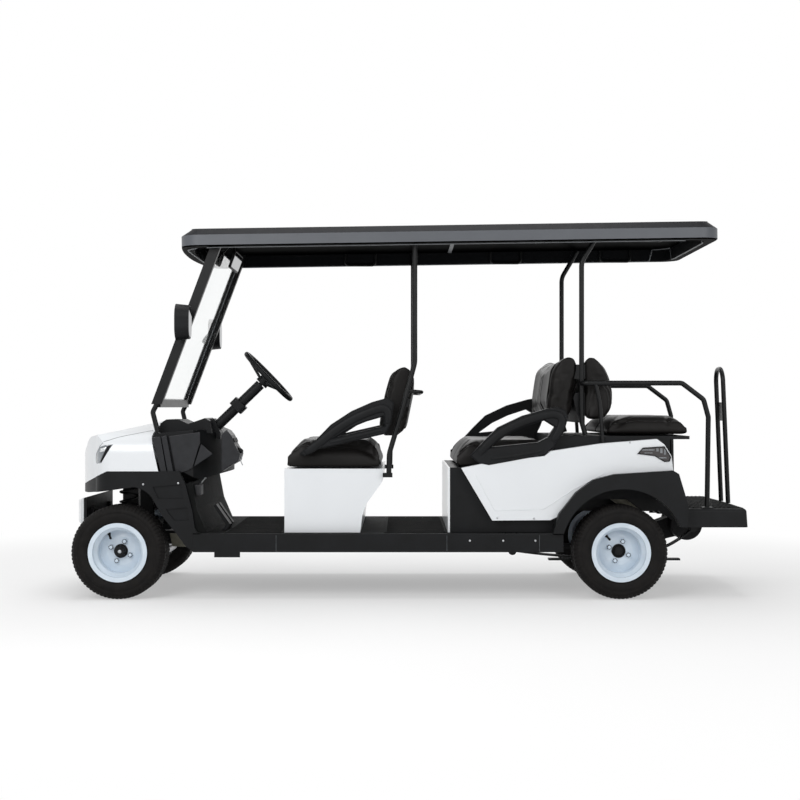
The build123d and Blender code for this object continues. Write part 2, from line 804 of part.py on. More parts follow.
# =====================================================================
# Front seat: white pod, battery pack, cushions and armrests
# =====================================================================
pod_front = seat_back_x - 486
pod_half = seat_half + base_margin
pod_wall = 8
pod_outline = (
    (pod_front, floor_z), (pod_front, pod_top), (pod_rear, pod_top), (pod_rear - 4, pod_top - 64),
    (pod_rear - 41, pod_top - 115), (pod_rear - 80, pod_top - 169), (pod_rear - 102, pod_top - 223),
    (pod_rear - 113, floor_z),
)
with BuildPart() as seat_pod:
    cross_plate(pod_outline, pod_half)
    inner = (
        (pod_front + pod_wall, floor_z - 1), (pod_front + pod_wall, pod_top - pod_wall),
        (pod_rear - pod_wall, pod_top - pod_wall), (pod_rear - 12, pod_top - 62),
        (pod_rear - 49, pod_top - 112), (pod_rear - 88, pod_top - 166), (pod_rear - 110, pod_top - 221),
        (pod_rear - 121, floor_z - 1),
    )
    with BuildSketch(Plane.XZ):
        with BuildLine():
            Polyline(*inner, close=True)
        make_face()
    extrude(amount=pod_half - pod_wall, both=True, mode=Mode.SUBTRACT)
finish_piece(seat_pod, "seat_pod")

with BuildPart() as battery_pack:
    block((pod_front + 40, -390, floor_z), (pod_rear - 150, 390, floor_z + 235))
finish_piece(battery_pack, "battery_pack")


def cushion(points, half, corner):
    """Soft block with an outline in X and Z and rounded ends."""
    with BuildPart() as soft:
        cross_plate(points, half)
        fillet(soft.edges().filter_by(Axis.Y), corner)
    return soft


cushion_top = 761
front_cushion = cushion(
    (
        (pod_front + 2, pod_top + seat_gap), (pod_front + 2, 700), (pod_front + 80, cushion_top),
        (pod_rear - 8, cushion_top - 8), (pod_rear - 1, pod_top + seat_gap),
    ),
    seat_half, 14,
)
finish_piece(front_cushion, "front_cushion")
front_backrest = cushion(
    (
        (pod_rear - 19, 770), (pod_rear + 26, 984), (pod_rear + 53, 1085), (pod_rear + 80, 1145),
        (pod_rear + 116, 1153), (pod_rear + 148, 1125), (pod_rear + 88, 846), (pod_rear + 70, 770),
    ),
    seat_half - 8, 12,
)
finish_piece(front_backrest, "front_backrest")

arm_w = 58
arm_bevel = 7
# armrest outlines as (x, z): the loop and the slot in it, from the back edge of the cushion
front_arm_loop = (
    (-414, 700), (-335, 763), (-256, 844), (-155, 910), (-55, 954), (26, 977), (55, 950), (48, 905),
    (42, 855), (15, 799), (-315, 724), (-385, 690),
)
front_arm_slot = ((-225, 784), (-155, 829), (-80, 859), (0, 882), (8, 837))
with BuildPart() as front_armrests:
    side_plate([(pod_rear + x, z) for x, z in front_arm_loop], seat_half + seat_gap, arm_w)
    with BuildSketch(Plane.XZ.offset(seat_half - 10)):
        with BuildLine():
            Polyline(*[(pod_rear + x, z) for x, z in front_arm_slot], close=True)
        make_face()
    extrude(amount=arm_w + 20, mode=Mode.SUBTRACT)
    chamfer(front_armrests.faces().sort_by(Axis.Y)[0].edges(), arm_bevel)
    mirror(about=Plane.XZ)
finish_piece(front_armrests, "front_armrests")

# =====================================================================
# Second row, rear body and rear-facing seat
# =====================================================================
base_top = 632
base_half = seat_half
deck_rear = rear_axle + 352
deck_t = 16
with BuildPart() as middle_base:
    block((middle_front, -base_half, floor_z), (base_rear, base_half, base_top))
    block(
        (middle_front + 10, -base_half + 10, floor_z - 1), (base_rear - 10, base_half - 10, base_top - 10),
        mode=Mode.SUBTRACT,
    )
finish_piece(middle_base, "middle_base")

kick_t = 10
with BuildPart() as kick_panel:
    block((middle_front - kick_t, -base_half, floor_z), (middle_front, base_half, base_top))
finish_piece(kick_panel, "kick_panel")

with BuildPart() as rear_base:
    base_end = rear_axle + 255
    well_half = track / 2 - tyre_width / 2 - 14.5
    well_top = 545
    with BuildSketch(Plane.YZ.offset(base_rear)):
        with BuildLine():
            Polyline(
                (-base_half, well_top), (-base_half, deck_z - deck_t), (base_half, deck_z - deck_t),
                (base_half, well_top), (well_half, well_top), (well_half, rail_arch_z + rail_h),
                (-well_half, rail_arch_z + rail_h), (-well_half, well_top), close=True,
            )
        make_face()
    extrude(amount=base_end - base_rear)
    block(
        (base_rear + 10, -well_half + 10, rail_arch_z + rail_h - 1),
        (base_end - 10, well_half - 10, deck_z - deck_t - 10), mode=Mode.SUBTRACT,
    )
    # deck behind the second row, out under the rear-facing cushion
    block((base_rear, -base_half, deck_z - deck_t), (deck_rear, base_half, deck_z))
finish_piece(rear_base, "rear_base")

panel_inner = base_half + seat_gap
panel_outer = base_half + 50
rear_panel_outline = (
    (middle_front + 54, 631), (middle_front + 163, 653), (rear_axle - 367, 690), (rear_axle - 338, 714),
    (rear_axle - 91, 751), (rear_axle + 183, 773), (rear_axle + 219, 746), (rear_axle + 254, 689),
    (rear_axle + 262, 617), (rear_axle - 17, 600), (rear_axle - 91, 576), (rear_axle - 181, 533),
    (rear_axle - 239, 469), (rear_axle - 288, 399), (rear_axle - 341, 376), (middle_front + 206, 374),
)
tail_outline = (
    (rear_axle + 85, 700), (rear_axle + 112, 731), (rear_axle + 218, 738), (rear_axle + 251, 685),
    (rear_axle + 244, 663), (rear_axle + 218, 661), (rear_axle + 169, 690),
)
lamp_in = 16
with BuildPart() as rear_panels:
    side_plate(rear_panel_outline, panel_inner, panel_outer - panel_inner)
    with BuildSketch(Plane.XZ.offset(panel_outer - lamp_in)):
        with BuildLine():
            Polyline(*tail_outline, close=True)
        make_face()
    extrude(amount=lamp_in + 1, mode=Mode.SUBTRACT)
    mirror(about=Plane.XZ)
finish_piece(rear_panels, "rear_panels")

with BuildPart() as tail_lamps:
    side_plate(tail_outline, panel_outer - lamp_in, lamp_in + 3)
    mirror(about=Plane.XZ)
finish_piece(tail_lamps, "tail_lamps")

# Rear wheel flares
flare_outer = panel_outer + 47
fender_inner = base_half + base_margin
with BuildPart() as rear_fenders:
    with BuildSketch(Plane.XZ.offset(fender_inner)):
        with BuildLine():
            Polyline(
                (rear_axle - 278, floor_z + 1.3), (rear_axle - 330, floor_z + 1.3), (rear_axle - 303, 407),
                (rear_axle - 260, 460), (rear_axle - 219, 513), (rear_axle - 134, 576),
                (rear_axle - 30, 602), (rear_axle + 255, 620), (rear_axle + 282, 604),
                (rear_axle + 314, 497), (rear_axle + 330, 435), (rear_axle + 322, 345),
            )
            Line((rear_axle + 322, 345), (rear_axle + 292, 345))
            ThreePointArc((rear_axle + 292, 345), (rear_axle - 10, 529), (rear_axle - 278, floor_z + 1.3))
        make_face()
    extrude(amount=flare_outer - fender_inner)
    # leave the white panel and the sill their place
    with BuildSketch(Plane.XZ.offset(panel_inner)):
        with BuildLine():
            Polyline(*rear_panel_outline, close=True)
        make_face()
    extrude(amount=panel_outer - panel_inner, mode=Mode.SUBTRACT)
    mirror(about=Plane.XZ)
finish_piece(rear_fenders, "rear_fenders")

middle_cushion = cushion(
    (
        (middle_front + 25, base_top + seat_gap), (middle_front + 25, 700),
        (middle_front + 85, cushion_top), (base_rear - 6, cushion_top - 4),
        (base_rear - 1, base_top + seat_gap),
    ),
    seat_half, 14,
)
finish_piece(middle_cushion, "middle_cushion")
back_low = 850              # lower edge of the backrests between the two rear rows
middle_backrest = cushion(
    (
        (rear_axle - 338, back_low), (rear_axle - 330, 950), (rear_axle - 306, 1113),
        (rear_axle - 272, 1180), (rear_axle - 236, 1201), (rear_axle - 200, 1186), (rear_axle - 204, 1110),
        (rear_axle - 244, 930), (rear_axle - 260, back_low),
    ),
    seat_half - 8, 10,
)
finish_piece(middle_backrest, "middle_backrest")

panel_cut = panel_outer + seat_gap - seat_half + 5   # depth that the white side panel takes from an armrest
# armrest outline and slot as (x, z, share of the right one's extra height)
arm_extra = {left_side: 0, right_side: 52}
middle_arm_loop = (
    (-733, 690, 1), (-663, 765, 1), (-597, 830, 1), (-477, 887, 1), (-357, 921, 1), (-300, 930, 1),
    (-264, 914, 1), (-252, 881, 1), (-266, 830, 1), (-298, 785, 0.5), (-322, 734, 0), (-369, 695, 0),
    (-641, 645, 0), (-690, 655, 0),
)
middle_arm_slot = (
    (-636, 733, 1), (-560, 788, 1), (-470, 831, 1), (-369, 864, 1), (-318, 832, 1), (-352, 782, 1),
    (-401, 757, 1),
)
with BuildPart() as middle_armrests:
    for side in sides:
        loop = [(rear_axle + x, z + share * arm_extra[side]) for x, z, share in middle_arm_loop]
        slot = [(rear_axle + x, z + share * arm_extra[side]) for x, z, share in middle_arm_slot]
        inner = seat_half + seat_gap
        start = inner if side == left_side else -inner - arm_w
        side_plate(loop, start, arm_w)
        for outline, at, width in ((slot, start - 5, arm_w + 10), (rear_panel_outline, start - 5, panel_cut)):
            if outline is rear_panel_outline and side == right_side:
                at = start + arm_w + 5 - panel_cut
            with BuildSketch(Plane.XZ.offset(at)):
                with BuildLine():
                    Polyline(*outline, close=True)
                make_face()
            extrude(amount=width, mode=Mode.SUBTRACT)
    for end in (0, -1):
        chamfer(middle_armrests.faces().sort_by(Axis.Y)[end].edges(), arm_bevel)
finish_piece(middle_armrests, "middle_armrests")

rear_cushion = cushion(
    (
        (rear_axle - 56, deck_z + seat_gap), (rear_axle - 56, 842), (rear_axle - 30, 868),
        (rear_axle + 100, 880), (rear_axle + 322, 878), (rear_axle + 350, 846), (rear_axle + 360, 806),
        (deck_rear, deck_z + seat_gap),
    ),
    seat_half - 18, 12,
)
finish_piece(rear_cushion, "rear_cushion")
rear_backrest = cushion(
    (
        (rear_axle - 157, back_low), (rear_axle - 157, 1172), (rear_axle - 140, 1196),
        (rear_axle - 108, 1188), (rear_axle - 77, 1147), (rear_axle - 48, 1068), (rear_axle - 24, 960),
        (rear_axle - 26, 902), (rear_axle - 62, back_low + 4),
    ),
    seat_half - 18, 10,
)
finish_piece(rear_backrest, "rear_backrest")

# Moulded shell behind the rear-facing backrest, between the roof posts
with BuildPart() as backrest_shell:
    shell_face = rear_axle - 157 - seat_gap
    cross_plate(
        (
            (shell_face, back_low), (rear_axle - 179, back_low + 6), (rear_axle - 201, 910),
            (rear_axle - 214, 975), (rear_axle - 205, 1000), (shell_face, 1000),
        ),
        rear_post_y - post_r - seat_gap,
    )
finish_piece(backrest_shell, "backrest_shell")

# Rear step, hollow underneath
step_rear = rear_axle + rear_overhang
step_half = seat_half + base_margin
step_h = 92
step_round = 18
with BuildPart() as step:
    with BuildSketch(Plane.XY.offset(step_z - step_h)):
        with BuildLine():
            Polyline(
                (step_rear - 42, step_half), (step_front, step_half), (step_front, -step_half),
                (step_rear - 42, -step_half)
            )
            ThreePointArc(
                (step_rear - 42, -step_half), (step_rear - 24, -step_half + 6), (step_rear - 17, -step_half + 28)
            )
            ThreePointArc((step_rear - 17, -step_half + 28), (step_rear, 0), (step_rear - 17, step_half - 28))
            ThreePointArc(
                (step_rear - 17, step_half - 28), (step_rear - 24, step_half - 6), (step_rear - 42, step_half)
            )
        make_face()
    extrude(amount=step_h, taper=4)
    fillet(step.faces().sort_by(Axis.Z)[-1].edges(), step_round)
    block(
        (step_front - 1, -step_half + 20, step_z - step_h - 1), (step_rear - 32, step_half - 20, step_under),
        mode=Mode.SUBTRACT,
    )
finish_piece(step, "step")

# Hand rails of the rear-facing seat, down to the step
rail_tube_y = seat_half + 27
rail_top_z = 1048
rail_foot_x = rear_axle + 444
with BuildPart() as side_rails:
    bent_tube(
        (
            (rear_post_x, -rear_post_y - post_r - seat_gap, rail_top_z),
            (rear_post_x, -rail_tube_y + 20, rail_top_z), (rear_axle + 313, -rail_tube_y + 20, rail_top_z),
            (rear_axle + 420, -rail_tube_y + 22, 967), (rail_foot_x, -rail_tube_y + 25, 880),
            (rail_foot_x, -rail_tube_y + 55, step_z + 2),
        ),
        34, post_r,
    )
    # front leg down to the side panel
    bent_tube(
        (
            (rear_axle - 112, -rail_tube_y + 20, rail_top_z - 4), (rear_axle - 92, -rail_tube_y + 18, 950),
            (rear_axle - 78, -rail_tube_y + 12, 754),
        ),
        80, 10,
    )
    block(
        (rail_foot_x - 26, -rail_tube_y + 34, step_z), (rail_foot_x + 26, -rail_tube_y + 76, step_z + 6),
    )
    mirror(about=Plane.XZ)
finish_piece(side_rails, "side_rails")

hoop_half = 82
hoop_x = rear_axle + 634
with BuildPart() as grab_hoop:
    bent_tube(
        (
            (hoop_x, -hoop_half, step_z + 0.6), (hoop_x - 29, -hoop_half, 1130),
            (hoop_x - 29, hoop_half, 1130), (hoop_x, hoop_half, step_z + 0.6),
        ),
        70, 12,
    )
    block((hoop_x - 18, -hoop_half, 858), (hoop_x - 12, hoop_half, 955))
finish_piece(grab_hoop, "grab_hoop")

# =====================================================================
# Mirrors, pedals and steering
# =====================================================================
mirror_z = 1342
mirror_y = body_half + 40     # middle of an outer mirror
with BuildPart() as mirrors:
    x = screen_x(mirror_z)
    with BuildSketch(Plane.YZ.offset(x - 37)):
        with Locations((-mirror_y, mirror_z)):
            SlotOverall(178, 130, rotation=90)
    extrude(amount=67, taper=6)
    bent_tube(((x - 6, -post_y - 16, mirror_z - 4), (x - 6, -post_y - 34, mirror_z - 4), (x, -mirror_y + 52, mirror_z)), 8, 8)
    mirror(about=Plane.XZ)
    z = 1695
    x = screen_x(z) + 46
    glass_plane = Plane(origin=(x, 0, z), x_dir=(0, 1, 0), z_dir=(screen_slope[1], 0, -screen_slope[0]))
    with BuildSketch(glass_plane):
        RectangleRounded(330, 92, 20)
    extrude(amount=12)
    block((x - 8, -12, z - 10), (x + 4, 12, ceiling_z(x) - seat_gap))
finish_piece(mirrors, "mirrors")

wheel_centre = (front_axle + 706, binnacle_y, 1085)
wheel_tilt = 44             # steering axis above level
wheel_ring_r = 157
ring_r = 13
axis_dir = (cos(radians(wheel_tilt)), 0, sin(radians(wheel_tilt)))
wheel_plane = Plane(origin=wheel_centre, x_dir=(0, 1, 0), z_dir=axis_dir)
shaft_r = 11
hub_drop = 52               # hub below the plane of the ring
with BuildPart() as steering_wheel:
    with BuildSketch(Plane(origin=wheel_centre, x_dir=(0, 1, 0), z_dir=wheel_plane.y_dir)):
        with Locations((wheel_ring_r, 0)):
            RegularPolygon(ring_r, 12)
    revolve(axis=Axis(wheel_centre, axis_dir))
    with BuildSketch(wheel_plane.offset(-hub_drop)):
        Circle(34)
    extrude(amount=36, taper=8)
    for angle in (90, 210, 330):
        spoke = (cos(radians(angle)), sin(radians(angle)))
        near = wheel_plane.from_local_coords((spoke[0] * 22, spoke[1] * 22, -hub_drop + 16))
        far = wheel_plane.from_local_coords((spoke[0] * wheel_ring_r, spoke[1] * wheel_ring_r, -3))
        with BuildLine() as spoke_line:
            Line(near, far)
        with BuildSketch(spoke_line.line ^ 0):
            Ellipse(7, 12)
        sweep()
    with BuildSketch(wheel_plane.offset(-hub_drop)):
        Circle(shaft_r)
    extrude(amount=-60)
finish_piece(steering_wheel, "steering_wheel")

shroud_r = 26
column_length = 330
joint_drop = 190            # from the plane of the ring to the clamp of the tilting joint
with BuildPart() as steering_column:
    with BuildSketch(wheel_plane.offset(-hub_drop - 6)):
        Circle(shroud_r)
    extrude(amount=-column_length)
    with BuildSketch(wheel_plane.offset(-joint_drop)):
        RectangleRounded(84, 78, 20)
    extrude(amount=-44)
    with BuildSketch(wheel_plane.offset(-hub_drop)):
        Circle(shaft_r + running_gap)
    extrude(amount=-75, mode=Mode.SUBTRACT)
    add(dashboard.part, mode=Mode.SUBTRACT)
finish_piece(steering_column, "steering_column")

with BuildPart() as pedals:
    for y, width in ((-215, 52), (-330, 78)):
        with BuildSketch(Plane.XZ.offset(-y - width / 2)):
            with BuildLine():
                px = floor_front + 120
                Polyline(
                    (px, floor_z), (px + 24, floor_z), (px + 40, floor_z + 30), (px - 30, floor_z + 130),
                    (px - 42, floor_z + 122), (px + 18, floor_z + 28), close=True,
                )
            make_face()
        extrude(amount=width)
finish_piece(pedals, "pedals")

# =====================================================================
# Front suspension and steering linkage
# =====================================================================
boss_r = 24
with BuildPart() as front_suspension:
    for z, t in ((arm_low_z, arm_t), (arm_top_z, arm_top_t)):
        with BuildSketch(Plane.XY.offset(z)):
            with BuildLine():
                Polyline(
                    (front_axle - 118, -rail_outer), (front_axle - 88, -rail_outer),
                    (front_axle - 54, -rail_outer - 40), (front_axle + 54, -rail_outer - 40),
                    (front_axle + 88, -rail_outer), (front_axle + 118, -rail_outer),
                    (front_axle + 24, -kingpin_y), (front_axle - 24, -kingpin_y), close=True,
                )
            make_face()
            with Locations((front_axle, -kingpin_y)):
                Circle(boss_r)
            with Locations((front_axle, -kingpin_y)):
                Circle(kingpin_r + running_gap, mode=Mode.SUBTRACT)
            if z == arm_top_z:
                with Locations((front_axle, -coil_y)):
                    Circle(coil_r + wire_r + 4, mode=Mode.SUBTRACT)
        extrude(amount=t)
    # coil springs between the lower arms and the tower
    spring_low = arm_low_z + arm_t + wire_r
    spring_height = tower_z - spring_low - wire_r
    with BuildLine() as coil_line:
        Helix(
            pitch=spring_height / 7, height=spring_height, radius=coil_r,
            center=(front_axle, -coil_y, spring_low),
        )
    with BuildSketch(coil_line.line ^ 0):
        RegularPolygon(wire_r - seat_gap, 6)
    sweep()
    mirror(about=Plane.XZ)
finish_piece(front_suspension, "front_suspension")

knuckle_low = arm_low_z + arm_t + 1
knuckle_high = arm_top_z - 1
eye_x = front_axle + steer_arm
tie_z = 192
tie_r = 11
arm_half = 12               # half width of a steering arm
for side in sides:
    with BuildPart() as knuckle:
        pin_at = (front_axle, side * kingpin_y)
        with BuildSketch(Plane.XY.offset(knuckle_low)):
            with Locations(pin_at):
                Circle(20)
        extrude(amount=knuckle_high - knuckle_low)
        with BuildSketch(Plane.XY.offset(arm_low_z)):
            with Locations(pin_at):
                Circle(kingpin_r)
        extrude(amount=arm_top_z + arm_top_t - arm_low_z)
        stub_plane = Plane(origin=(front_axle, side * kingpin_y, axle_z), x_dir=(1, 0, 0), z_dir=(0, side, 0))
        with BuildSketch(stub_plane):
            Circle(spindle_r)
        extrude(amount=track / 2 - kingpin_y - 10)
        # steering arm
        arm_y = kingpin_y - eye_inset
        low_y, high_y = sorted((side * (arm_y + arm_half), side * (arm_y - arm_half)))
        block((front_axle, low_y, tie_z + tie_r + 6), (eye_x + 16, high_y, tie_z + tie_r + 18))
    finish_piece(knuckle, f"knuckle_{corner_names[side]}")

rack_half = 120
tie_half = kingpin_y - eye_inset + 4
with BuildPart() as tie_rod:
    with BuildSketch(Plane.XZ.offset(tie_half)):
        with Locations((eye_x, tie_z)):
            Circle(tie_r)
    extrude(amount=-2 * tie_half)
finish_piece(tie_rod, "tie_rod")

with BuildPart() as steering_rack:
    with BuildSketch(Plane.XZ.offset(rack_half)):
        with Locations((eye_x, tie_z)):
            Circle(26)
    extrude(amount=-2 * rack_half)
    block((eye_x - 20, -rack_half + 10, tie_z), (eye_x + 20, rack_half - 10, rail_z + 8))
    block((eye_x - 20, -rail_inner, rail_z + 8), (eye_x + 20, rail_inner, rail_z + 40))
    with BuildSketch(Plane.XZ.offset(rack_half + 5)):
        with Locations((eye_x, tie_z)):
            Circle(tie_r + running_gap)
    extrude(amount=-2 * (rack_half + 5), mode=Mode.SUBTRACT)
finish_piece(steering_rack, "steering_rack")

# =====================================================================
# Rear axle, leaf springs and drive
# =====================================================================
axle_tube_r = 38
leaf_t = 9
seat_low = axle_z - axle_tube_r - leaf_t * 3 - 5      # underside of the leaf spring pack at the axle
with BuildPart() as rear_axle_tube:
    axle_end = track / 2 + rear_hub_back - 6
    with BuildSketch(Plane.XZ.offset(axle_end)):
        with Locations((rear_axle, axle_z)):
            Circle(axle_tube_r)
    extrude(amount=-2 * axle_end)
    shaft_end = track / 2 - 7
    with BuildSketch(Plane.XZ.offset(shaft_end)):
        with Locations((rear_axle, axle_z)):
            Circle(halfshaft_r)
    extrude(amount=-2 * shaft_end)
    with BuildSketch(Plane.XZ.offset(70)):
        with Locations((rear_axle, axle_z)):
            Circle(92)
    extrude(amount=-140)
    for side in sides:
        low_y, high_y = sorted((side * (spring_y - leaf_w / 2), side * (spring_y + leaf_w / 2)))
        block((rear_axle - 36, low_y, seat_low + leaf_t * 3 + 0.4), (rear_axle + 36, high_y, axle_z))
finish_piece(rear_axle_tube, "rear_axle")

motor_x = rear_axle + 405
motor_r = 80
motor_z = 323
with BuildPart() as motor:
    with BuildSketch(Plane.XZ.offset(150)):
        with Locations((motor_x, motor_z)):
            Circle(motor_r)
    extrude(amount=-300)
    side_plate(
        (
            (rear_axle + 92, 190), (motor_x, motor_z - 60), (motor_x, motor_z + 60), (rear_axle + 92, 268),
        ),
        -50, 100,
    )
finish_piece(motor, "drive_motor")

with BuildPart() as leaf_springs:
    with BuildSketch(Plane.XZ.offset(spring_y - leaf_w / 2)):
        low = seat_low + leaf_t * 2
        front_end, front_foot = (eye_front, eye_z), (rear_axle - 50, low)
        rear_end, rear_foot = (eye_rear, eye_rear_z), (rear_axle + 50, low)
        front_mid = ((eye_front + rear_axle - 50) / 2, low + (eye_z - low) * 0.26)
        rear_mid = ((eye_rear + rear_axle + 50) / 2, low + (eye_rear_z - low) * 0.26)
        with BuildLine():
            ThreePointArc(front_end, front_mid, front_foot)
            Line(front_foot, rear_foot)
            ThreePointArc(rear_foot, rear_mid, rear_end)
            Line(rear_end, (eye_rear, eye_rear_z + leaf_t))
            ThreePointArc(
                (eye_rear, eye_rear_z + leaf_t), (rear_mid[0], rear_mid[1] + leaf_t),
                (rear_foot[0], low + leaf_t)
            )
            Line((rear_foot[0], low + leaf_t), (front_foot[0], low + leaf_t))
            ThreePointArc(
                (front_foot[0], low + leaf_t), (front_mid[0], front_mid[1] + leaf_t), (eye_front, eye_z + leaf_t)
            )
            Line((eye_front, eye_z + leaf_t), front_end)
        make_face()
    extrude(amount=leaf_w)
    for n, reach in ((1, 330), (2, 210)):
        block(
            (rear_axle - reach, -spring_y - leaf_w / 2, seat_low + leaf_t * (2 - n)),
            (rear_axle + reach, -spring_y + leaf_w / 2, seat_low + leaf_t * (3 - n)),
        )
    with BuildSketch(Plane.XZ.offset(spring_y - leaf_w / 2)):
        with Locations((eye_front, eye_z + 2)):
            Circle(20)
        with Locations((eye_rear, eye_rear_z + 4)):
            Circle(eye_r)
    extrude(amount=leaf_w)
    mirror(about=Plane.XZ)
finish_piece(leaf_springs, "leaf_springs")
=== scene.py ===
import bmesh
import bpy
import json
import math
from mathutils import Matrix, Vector
from mathutils.bvhtree import BVHTree


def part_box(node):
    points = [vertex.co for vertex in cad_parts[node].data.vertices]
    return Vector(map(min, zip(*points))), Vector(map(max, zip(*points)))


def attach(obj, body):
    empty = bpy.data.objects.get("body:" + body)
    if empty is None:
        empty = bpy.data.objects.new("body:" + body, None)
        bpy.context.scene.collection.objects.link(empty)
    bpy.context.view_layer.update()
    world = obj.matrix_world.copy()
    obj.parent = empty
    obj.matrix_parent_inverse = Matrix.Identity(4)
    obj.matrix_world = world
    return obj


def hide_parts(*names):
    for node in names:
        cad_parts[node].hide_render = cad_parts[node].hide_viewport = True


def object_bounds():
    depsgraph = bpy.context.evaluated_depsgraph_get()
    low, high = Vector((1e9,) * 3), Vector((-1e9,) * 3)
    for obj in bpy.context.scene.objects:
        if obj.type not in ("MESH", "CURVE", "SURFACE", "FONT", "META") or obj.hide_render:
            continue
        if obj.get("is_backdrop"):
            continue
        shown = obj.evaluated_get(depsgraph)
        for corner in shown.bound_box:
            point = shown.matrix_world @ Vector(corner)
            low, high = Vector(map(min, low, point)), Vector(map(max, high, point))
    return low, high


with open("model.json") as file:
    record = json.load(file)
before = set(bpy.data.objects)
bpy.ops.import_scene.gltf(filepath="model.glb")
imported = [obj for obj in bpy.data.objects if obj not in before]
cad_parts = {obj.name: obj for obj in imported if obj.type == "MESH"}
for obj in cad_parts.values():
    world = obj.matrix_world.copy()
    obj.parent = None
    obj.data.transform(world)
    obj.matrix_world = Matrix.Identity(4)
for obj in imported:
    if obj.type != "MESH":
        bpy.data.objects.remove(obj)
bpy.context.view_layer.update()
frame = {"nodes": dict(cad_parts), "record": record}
print("frame loaded")


def centreOf(node):
    low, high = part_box(node)
    return (low + high) / 2


frontAxle = centreOf("tyre_front_left").x
rearAxle = centreOf("tyre_rear_left").x
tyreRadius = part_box("tyre_front_left")[1].z - centreOf("tyre_front_left").z
tyreLow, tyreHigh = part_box("tyre_front_right")
tyreHalfWidth = (tyreHigh.y - tyreLow.y) / 2
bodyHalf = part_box("front_cowl")[1].y
wheels = [(end, sideName, side) for end in ("front", "rear") for sideName, side in (("left", -1), ("right", 1))]


def setAll(thing, settings):
    for name, value in settings.items():
        setattr(thing, name, value)


def placed(name, data):
    thing = bpy.data.objects.new(name, data)
    bpy.context.scene.collection.objects.link(thing)
    return thing


# camera: level, beside the left flank
view = {
    "place": (-0.032, -7.6, 0.938),
    "optics": {"lens": 64.9, "sensor_width": 36, "shift_y": 0.00875, "clip_end": 60},
}
cameraData = bpy.data.cameras.new("camera")
setAll(cameraData, view["optics"])
camera = placed("camera", cameraData)
camera.location = view["place"]
camera.rotation_euler = (math.radians(90), 0, 0)
bpy.context.scene.camera = camera


def colourOf(hexCode):
    # sRGB hex to linear, by the standard curve
    channels = [int(hexCode[i:i + 2], 16) / 255 for i in (1, 3, 5)]
    return (*[c / 12.92 if c <= 0.04045 else ((c + 0.055) / 1.055) ** 2.4 for c in channels], 1.0)


def perMetre(millimetres):
    return 1000 / millimetres      # texture scale for a pattern that repeats at this size


def addNode(tree, kind, settings=None, links=None):
    # a link comes from a socket, or from the first output of a node
    node = tree.nodes.new("ShaderNode" + kind)
    for name, value in (settings or {}).items():
        if isinstance(name, str) and hasattr(node, name):
            setattr(node, name, value)
        else:
            node.inputs[name].default_value = value
    for name, source in (links or {}).items():
        tree.links.new(source.outputs[0] if isinstance(source, bpy.types.Node) else source, node.inputs[name])
    return node


def newFinish(name, settings):
    finish = bpy.data.materials.new(name)
    finish.use_nodes = True
    tree = finish.node_tree
    shader = tree.nodes["Principled BSDF"]
    for socket, value in settings.items():
        shader.inputs[socket].default_value = value
    return finish, tree, shader, addNode(tree, "TexCoord").outputs["Object"]


def shadeVariation(tree, shader, place, dark, light, size):
    noise = addNode(tree, "TexNoise", {"Scale": perMetre(size), "Detail": 3.0}, {"Vector": place})
    ramp = addNode(tree, "ValToRGB", links={"Fac": noise})
    for stop, position, colour in zip(ramp.color_ramp.elements, (0.3, 0.7), (dark, light)):
        stop.position, stop.color = position, colourOf(colour)
    tree.links.new(ramp.outputs["Color"], shader.inputs["Base Color"])


def roughnessVariation(tree, shader, place, low, high, size):
    noise = addNode(tree, "TexNoise", {"Scale": perMetre(size), "Detail": 4.0}, {"Vector": place})
    spread = addNode(tree, "MapRange", {"To Min": low, "To Max": high}, {"Value": noise})
    tree.links.new(spread.outputs["Result"], shader.inputs["Roughness"])


def bumpFrom(tree, shader, height, depth, strength):
    bump = addNode(tree, "Bump", {"Strength": strength, "Distance": depth / 1000}, {"Height": height})
    tree.links.new(bump.outputs["Normal"], shader.inputs["Normal"])


